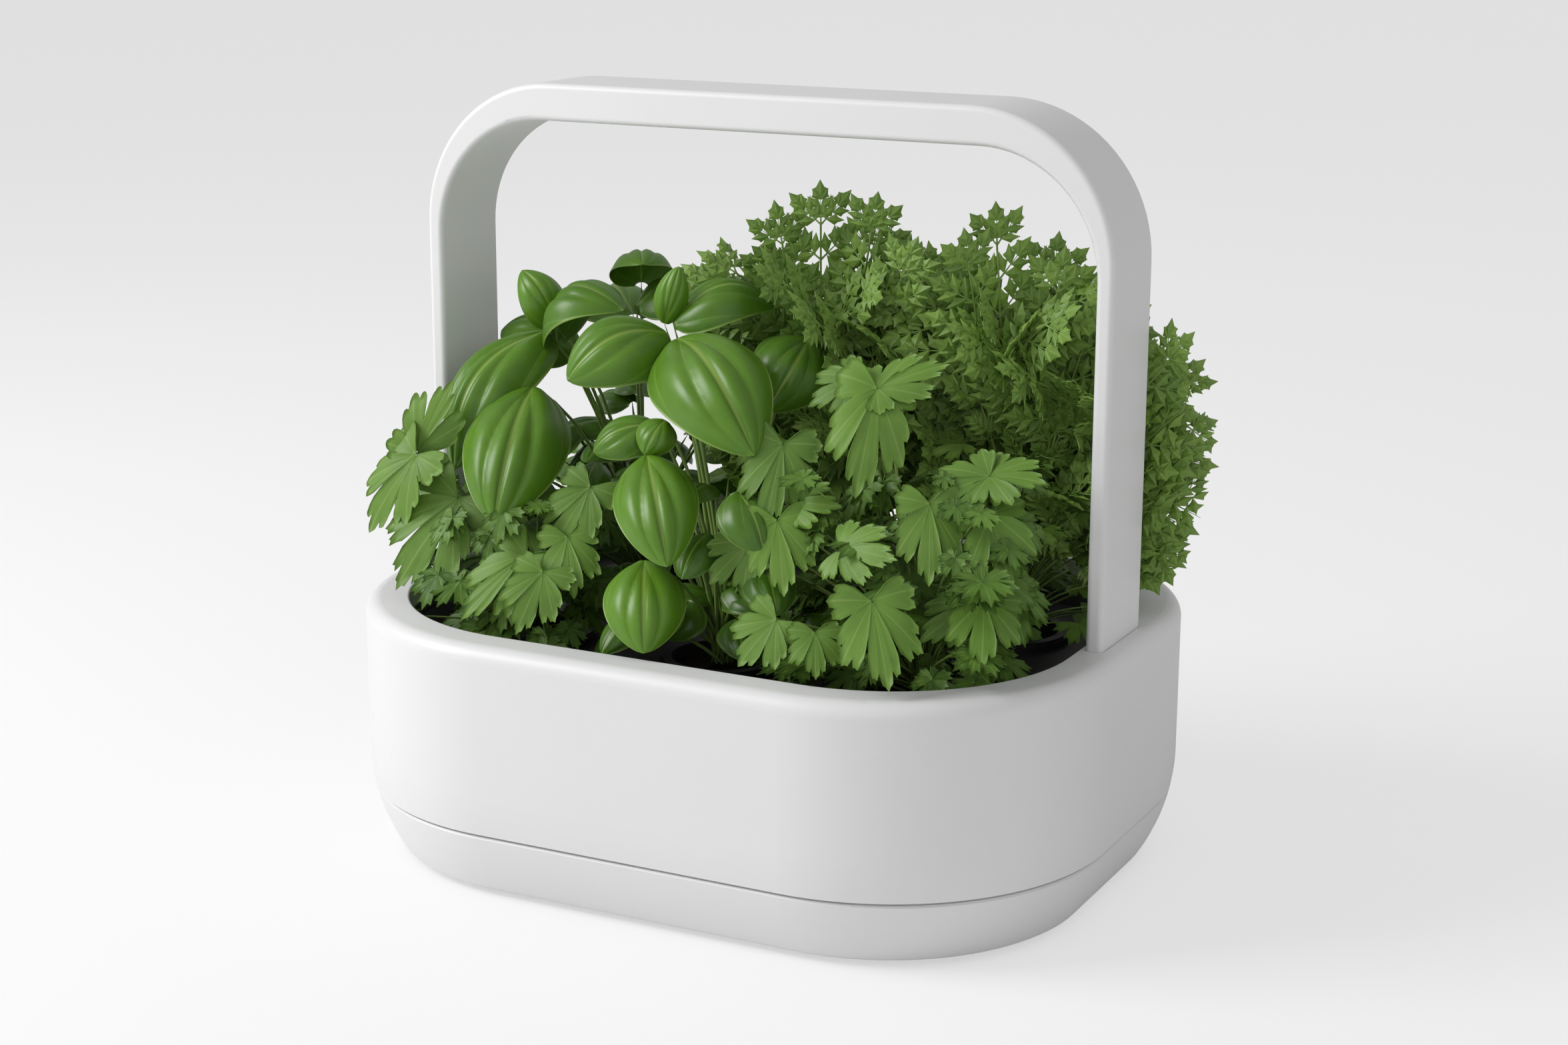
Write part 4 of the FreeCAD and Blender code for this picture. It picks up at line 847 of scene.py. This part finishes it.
# %% Leaflet
def leaflet_mesh():
    """A cut leaflet, one unit long, along +X: an end lobe and three pairs of side lobes."""
    points, faces, uv = [], [], []

    def lobe(x, y, angle, length, width):
        first = len(points)
        outline = ((0, 0), (0.5, -0.42), (0.62, -0.2), (1, 0), (0.62, 0.2), (0.5, 0.42))
        for along, across in ((0.45, 0), *outline):
            px, py = along * length, across * width
            points.append((x + px * math.cos(angle) - py * math.sin(angle),
                           y + px * math.sin(angle) + py * math.cos(angle),
                           (0.12 * width if (along, across) == (0.45, 0) else 0.0)
                           - 0.25 * abs(across) * width - 0.10 * (x + px) ** 2))
            uv.append((along, across + 0.5))
        ring = [first + 1 + step for step in range(len(outline))]
        faces.extend((first, a, b) for a, b in zip(ring, ring[1:] + ring[:1]))

    lobe(0.55, 0, 0, 0.45, 0.42)
    for side in (1, -1):
        for x, angle, length in ((0.16, 0.95, 0.42), (0.36, 0.80, 0.40), (0.56, 0.62, 0.30)):
            lobe(x, 0, side * angle, length, 0.30)
    faces.append((len(points), len(points) + 1, len(points) + 2))
    points.extend([(0, -0.02, 0), (0.7, 0, -0.05), (0, 0.02, 0)])
    uv.extend([(0, 0.45), (1, 0.5), (0, 0.55)])
    mesh = bpy.data.meshes.new("leaflet")
    mesh.from_pydata(points, [], faces)
    layer = mesh.uv_layers.new(name="leaf")
    for loop in mesh.loops:
        layer.data[loop.index].uv = uv[loop.vertex_index]
    return mesh


leaflet = bpy.data.objects.new("leaflet", leaflet_mesh())
print(f"leaflet: {len(leaflet.data.polygons)} faces")

# %% [markdown]
# ## A short way to write a tree
# A Geometry Nodes tree is the same kind of thing as a shader tree, so it gets the same kind of
# helper: `input` names a size that can be set on the modifier, and `add` makes a node from its
# type, its settings, and the values or links of its sockets.

# %% Tree helper
class Graph:
    """A Geometry Nodes tree with the same short way of adding nodes."""

    def __init__(self, name):
        self.tree = bpy.data.node_groups.new(name, "GeometryNodeTree")
        for way in ("INPUT", "OUTPUT"):
            self.tree.interface.new_socket("Geometry", in_out=way,
                                           socket_type="NodeSocketGeometry")
        self.ids = {}

    def input(self, name, kind, value=None):
        socket = self.tree.interface.new_socket(name, in_out="INPUT", socket_type=kind)
        if value is not None:
            socket.default_value = value
        self.ids[name] = socket.identifier

    def start(self):
        return self.tree.nodes.new("NodeGroupInput").outputs

    def add(self, kind, settings=None, inputs=None):
        node = self.tree.nodes.new(kind)
        for key, value in (settings or {}).items():
            setattr(node, key, value)
        for key, value in (inputs or {}).items():
            if isinstance(value, bpy.types.NodeSocket):
                self.tree.links.new(value, node.inputs[key])
            else:
                node.inputs[key].default_value = value
        return node

    def joined(self, *sockets):
        node = self.tree.nodes.new("GeometryNodeJoinGeometry")
        for socket in sockets:
            self.tree.links.new(socket, node.inputs[0])
        return node.outputs[0]

    def finish(self, geometry):
        end = self.tree.nodes.new("NodeGroupOutput")
        self.tree.links.new(geometry, end.inputs[0])


print("tree helper ready")

# %% [markdown]
# ## Leaflets along a midrib
# At every point of a frond's midrib stands one leaflet to the left and one to the right, and one
# more at the tip. Its X axis follows the midrib and its upper side turns to the light, and a
# random splay and droop keep any two from being alike. A curve sets the size along the frond.

# %% Leaflet rows
TO_LIGHT = (0.35, -0.6, 0.8)
SPLAY_FROM, SPLAY_TO = 0.7, 1.25
DROOP_FROM, DROOP_TO = -0.2, 0.5
SIZE_AT_FOOT, SIZE_AT_TIP = 0.55, 0.8
FULL_SIZE_AT = 0.35


def leaflet_size(graph, given):
    share = graph.add("GeometryNodeSplineParameter")
    taper = graph.add("ShaderNodeFloatCurve")
    curve = taper.mapping.curves[0]
    curve.points[0].location = (0.0, SIZE_AT_FOOT)
    curve.points[1].location = (1.0, SIZE_AT_TIP)
    curve.points.new(FULL_SIZE_AT, 1.0)
    taper.mapping.update()
    graph.tree.links.new(share.outputs["Factor"], taper.inputs["Value"])
    return graph.add("ShaderNodeMath", {"operation": "MULTIPLY"},
                     {0: taper.outputs[0], 1: given["Leaflet length"]}).outputs[0]


def leaflet_turn(graph, given, level, sign):
    """Turn a leaflet away from the midrib, to the side that the sign gives."""
    wobble = graph.add("FunctionNodeRandomValue", {"data_type": "FLOAT"},
                       {2: SPLAY_FROM * sign, 3: SPLAY_TO * sign, "Seed": given["Seed"]})
    angle = graph.add("ShaderNodeMath", {"operation": "MULTIPLY"},
                      {0: wobble.outputs[1], 1: given["Splay"]})
    droop = graph.add("FunctionNodeRandomValue", {"data_type": "FLOAT"},
                      {2: DROOP_FROM, 3: DROOP_TO, "Seed": given["Seed"]})
    pack = graph.add("ShaderNodeCombineXYZ", {}, {1: droop.outputs[1], 2: angle.outputs[0]})
    turn = graph.add("FunctionNodeEulerToRotation", {}, {0: pack.outputs[0]})
    return graph.add("FunctionNodeRotateRotation", {"rotation_space": "LOCAL"},
                     {0: level, 1: turn.outputs[0]}).outputs[0]


def leaflet_rows(graph, given, rail):
    """Leaflets on the left, on the right and at the tip of each midrib."""
    shape = graph.add("GeometryNodeObjectInfo", {}, {"Object": given["Leaflet"]})
    tangent = graph.add("GeometryNodeInputTangent")
    first = graph.add("FunctionNodeAlignRotationToVector", {"axis": "X"},
                      {"Vector": tangent.outputs[0]})
    level = graph.add("FunctionNodeAlignRotationToVector", {"axis": "Z", "pivot_axis": "X"},
                      {"Rotation": first.outputs[0], "Vector": TO_LIGHT})
    length = leaflet_size(graph, given)
    rows = []
    for sign in (1.0, -1.0, 0.0):
        turn = leaflet_turn(graph, given, level.outputs[0], sign)
        stand = graph.add("GeometryNodeInstanceOnPoints", {},
                          {"Points": rail, "Instance": shape.outputs["Geometry"],
                           "Rotation": turn, "Scale": length})
        if sign == 0.0:
            ends = graph.add("GeometryNodeCurveEndpointSelection", {},
                             {"Start Size": 0, "End Size": 1})
            graph.tree.links.new(ends.outputs[0], stand.inputs["Selection"])
        rows.append(stand.outputs[0])
    return rows


print("leaflet rows ready")

# %% [markdown]
# ## The frond tree
# The tree puts the rows and a round midrib together. The realised leaflets are flat, so an
# extruded copy and a flipped one are welded into thin closed sheets. Each leaflet then draws its
# own tone, which the leaf finish reads.

# %% The frond tree
LEAFLET_THICK = 0.0003
WELD = 0.000001


def thin_sheets(graph, rows):
    """Realised leaflets, thickened and closed."""
    flat = graph.add("GeometryNodeRealizeInstances", {}, {0: graph.joined(*rows)})
    upper = graph.add("GeometryNodeExtrudeMesh", {"mode": "FACES"},
                      {"Mesh": flat.outputs[0], "Offset Scale": LEAFLET_THICK,
                       "Individual": False})
    under = graph.add("GeometryNodeFlipFaces", {}, {"Mesh": flat.outputs[0]})
    return graph.add("GeometryNodeMergeByDistance", {},
                     {"Geometry": graph.joined(upper.outputs[0], under.outputs[0]),
                      "Distance": WELD}).outputs[0]


def frond_tree():
    graph = Graph("fronds")
    graph.input("Pairs", "NodeSocketInt", 6)
    graph.input("Leaflet", "NodeSocketObject")
    graph.input("Leaflet length", "NodeSocketFloat", 0.026)
    graph.input("Splay", "NodeSocketFloat", 0.85)
    graph.input("Midrib radius", "NodeSocketFloat", 0.0005)
    graph.input("Seed", "NodeSocketInt", 5)
    given = graph.start()
    rail = graph.add("GeometryNodeResampleCurve", {}, {"Curve": given["Geometry"],
                     "Count": given["Pairs"]}).outputs[0]
    sheets = thin_sheets(graph, leaflet_rows(graph, given, rail))
    circle = graph.add("GeometryNodeCurvePrimitiveCircle", {"mode": "RADIUS"},
                       {"Resolution": 5, "Radius": given["Midrib radius"]})
    rib = graph.add("GeometryNodeCurveToMesh", {}, {"Curve": rail,
                    "Profile Curve": circle.outputs[0], "Fill Caps": True})
    green = graph.add("GeometryNodeSetMaterial", {}, {"Geometry": sheets,
                      "Material": finishes["dill_leaf"]})
    stem = graph.add("GeometryNodeSetMaterial", {}, {"Geometry": rib.outputs[0],
                     "Material": finishes["stalk"]})
    island = graph.add("GeometryNodeInputMeshIsland")
    tone = graph.add("FunctionNodeRandomValue", {"data_type": "FLOAT"},
                     {2: 0.1, 3: 0.9, "ID": island.outputs[0], "Seed": given["Seed"]})
    toned = graph.add("GeometryNodeStoreNamedAttribute", {"data_type": "FLOAT",
                      "domain": "POINT"},
                      {"Geometry": graph.joined(green.outputs[0], stem.outputs[0]),
                       "Name": "tone", "Value": tone.outputs[1]})
    graph.finish(toned.outputs[0])
    return graph


fronds = frond_tree()
print(f"frond tree: {len(fronds.tree.nodes)} nodes")

# %% [markdown]
# ## Midribs as curves
# A curve object is the natural start for a frond, because the tree can walk along it. Each midrib
# is a short NURBS spline with three points. Afterwards the modified object is turned into a plain
# mesh and the curve is taken away, so that what is exported is what is seen.

# %% Frond curves
def frond_curve(name, paths):
    """One curve object with a smooth spline for each midrib."""
    data = bpy.data.curves.new(name, "CURVE")
    data.dimensions = "3D"
    for path in paths:
        spline = data.splines.new("NURBS")
        spline.points.add(len(path) - 1)
        for point, place in zip(spline.points, path):
            point.co = (*(np.asarray(place, float) * MM), 1.0)
        spline.order_u = 3
        spline.use_endpoint_u = True
    item = bpy.data.objects.new(name, data)
    bpy.context.scene.collection.objects.link(item)
    return item


def evaluated_copy(item, name):
    """The modified object as a plain mesh object; the source is removed."""
    bpy.context.view_layer.update()
    graph = bpy.context.evaluated_depsgraph_get()
    mesh = bpy.data.meshes.new_from_object(item.evaluated_get(graph), depsgraph=graph)
    result = bpy.data.objects.new(name, mesh)
    bpy.context.scene.collection.objects.link(result)
    bpy.data.objects.remove(item)
    return result


FROND_TIPS = {
    "dill_back": [(0, 8, 281), (16, 15, 290), (40, 18, 288), (58, 12, 270), (-12, 25, 262),
                  (30, 40, 275), (62, 40, 262), (-30, 60, 240), (20, 90, 235), (45, 85, 245),
                  (-36, 82, 215), (0, 105, 212), (32, 62, 262), (-20, 38, 250)],
    "dill_right": [(92, 8, 276), (100, 20, 286), (84, 30, 262), (126, 28, 266), (140, 32, 250),
                   (118, 42, 270), (150, 45, 238), (134, 75, 235), (100, 85, 240), (182, 38, 216),
                   (186, 38, 180), (172, 42, 235), (168, 46, 150), (178, 50, 196), (80, 62, 230)],
}
print({name: len(tips) for name, tips in FROND_TIPS.items()})

# %% [markdown]
# ## Growing the feathery plants
# A frond's stalk forks half way up into one long and two shorter shoots, and the tree turns each
# into a feather. The tips that catch the eye are placed, the rest are random inside a box,
# and small fans fill the foot. The modifier's inputs are set by their identifiers.

# %% Feathery plants
SHOOTS = ((0.0, 1.0), (0.5, 0.72), (-0.5, 0.72))
LOW_FANS = 60
FROND_STALK, LOW_FAN_STALK = 1.5, 1.2


def frond_paths(plant, root, tips, rng):
    """Three midribs for each frond, from the fork of a stalk that is added to the plant."""
    paths = []
    for tip in tips:
        fork = root + (tip - root) * 0.5 + UP * 12
        start = stalk_foot(root, rng)
        stalk(plant, start, fork, towards_stem(fork, root, 0.4), FROND_STALK, 0.6)
        way = tip - fork
        side = np.cross(way, UP)
        side = side / max(np.linalg.norm(side), 1e-6)
        for sway, share in SHOOTS:
            end = fork + way * share + side * sway * np.linalg.norm(way) * 0.9
            bend = fork + way * 0.5 * share + side * sway * 12 + UP * 6
            paths.append([fork, bend, end])
    return paths


def grow_fronds(name, root, fillers, seed, low_corner, high_corner):
    rng = np.random.default_rng(seed)
    tips = [np.array(tip, float) for tip in FROND_TIPS[name]]
    for _ in range(fillers):
        tips.append(np.array([rng.uniform(a, b) for a, b in zip(low_corner, high_corner)]))
    plant = Foliage(["dill_leaf", "stalk"])
    curve = frond_curve(f"{name}_paths", frond_paths(plant, root, tips, rng))
    grow = curve.modifiers.new("fronds", "NODES")
    grow.node_group = fronds.tree
    grow[fronds.ids["Leaflet"]] = leaflet
    grow[fronds.ids["Seed"]] = seed
    feathers = evaluated_copy(curve, f"{name}_fronds")
    low = [(low_corner[axis] - 6, high_corner[axis]) for axis in (0, 1)]
    # The low fans and their stalks get a low tone: painted shade at the foot of the plant.
    for base, tip, width, face in undergrowth(rng, root, LOW_FANS, low, (106, 200), (15, 24)):
        fan_leaf(plant, base, tip, width * 1.5, face, rng, rng.uniform(0.0, 0.3), fine=False)
        start = stalk_foot(root, rng)
        stalk(plant, start, base, towards_stem(base, root), LOW_FAN_STALK, 0.2)
    stems = plant.mesh_object(f"{name}_stems")
    for item in (feathers, stems):
        keep_clear(item)
        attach(item, "housing")
    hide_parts(name)
    print(f"{name}: {len(feathers.data.polygons)} faces")


grow_fronds("dill_back", crown(0, 1), 14, 31, (-42, 5, 150), (60, 105, 245))
grow_fronds("dill_right", crown(1, 1), 14, 32, (60, 30, 140), (156, 100, 240))
bpy.data.objects.remove(leaflet)

# %% [markdown]
# ## Studio
# A wide pale floor runs past the edge of the picture, so it is also the background. The floor's
# own colour does the work: seen directly it is lifted towards white, while the light that it
# throws back on the garden stays plain. A large soft lamp stands to the front left.

# %% Studio
FLOOR_HALF = 14.0
FLOOR_LIFT = 0.55
ROOM_LIGHT = 0.5


def make_floor():
    mesh = bpy.data.meshes.new("floor")
    corners = [(-FLOOR_HALF, -FLOOR_HALF, 0), (FLOOR_HALF, -FLOOR_HALF, 0),
               (FLOOR_HALF, FLOOR_HALF, 0), (-FLOOR_HALF, FLOOR_HALF, 0)]
    mesh.from_pydata(corners, [], [(0, 1, 2, 3)])
    floor = bpy.data.objects.new("floor", mesh)
    bpy.context.scene.collection.objects.link(floor)
    finish = Finish("floor")
    cloud = finish.noise(0.6, 2.0)
    finish.set(Base_Color=finish.mix(cloud, colour(0.86, 0.86, 0.86), colour(0.88, 0.88, 0.88)),
               Roughness=0.9)
    lift = finish.add("ShaderNodeEmission", {}, {"Color": colour(1, 1, 1), "Strength": 1.0})
    seen = finish.add("ShaderNodeLightPath") * FLOOR_LIFT
    both = finish.add("ShaderNodeMixShader", {}, {0: seen, 2: lift})
    finish.tree.links.new(finish.surface.outputs[0], both.socket.node.inputs[1])
    finish.tree.links.new(both.socket, finish.output.inputs["Surface"])
    mesh.materials.append(finish.material)


def area_lamp(name, place, target, size, power):
    data = bpy.data.lights.new(name, "AREA")
    data.size = size
    data.energy = power
    lamp = bpy.data.objects.new(name, data)
    lamp.location = place
    lamp.rotation_euler = (Vector(target) - Vector(place)).to_track_quat("-Z", "Y").to_euler()
    bpy.context.scene.collection.objects.link(lamp)


world = bpy.data.worlds.new("studio")
world.use_nodes = True
backdrop = world.node_tree.nodes["Background"]
backdrop.inputs["Color"].default_value = colour(1, 1, 1)
backdrop.inputs["Strength"].default_value = ROOM_LIGHT
bpy.context.scene.world = world
make_floor()
area_lamp("key", (-1.3, -0.9, 1.2), (0, 0, 0.12), 0.9, 25)
area_lamp("fill", (1.2, -1.8, 0.9), (0, 0, 0.15), 1.4, 3)
bpy.context.scene.view_settings.view_transform = "Standard"
print("studio ready")
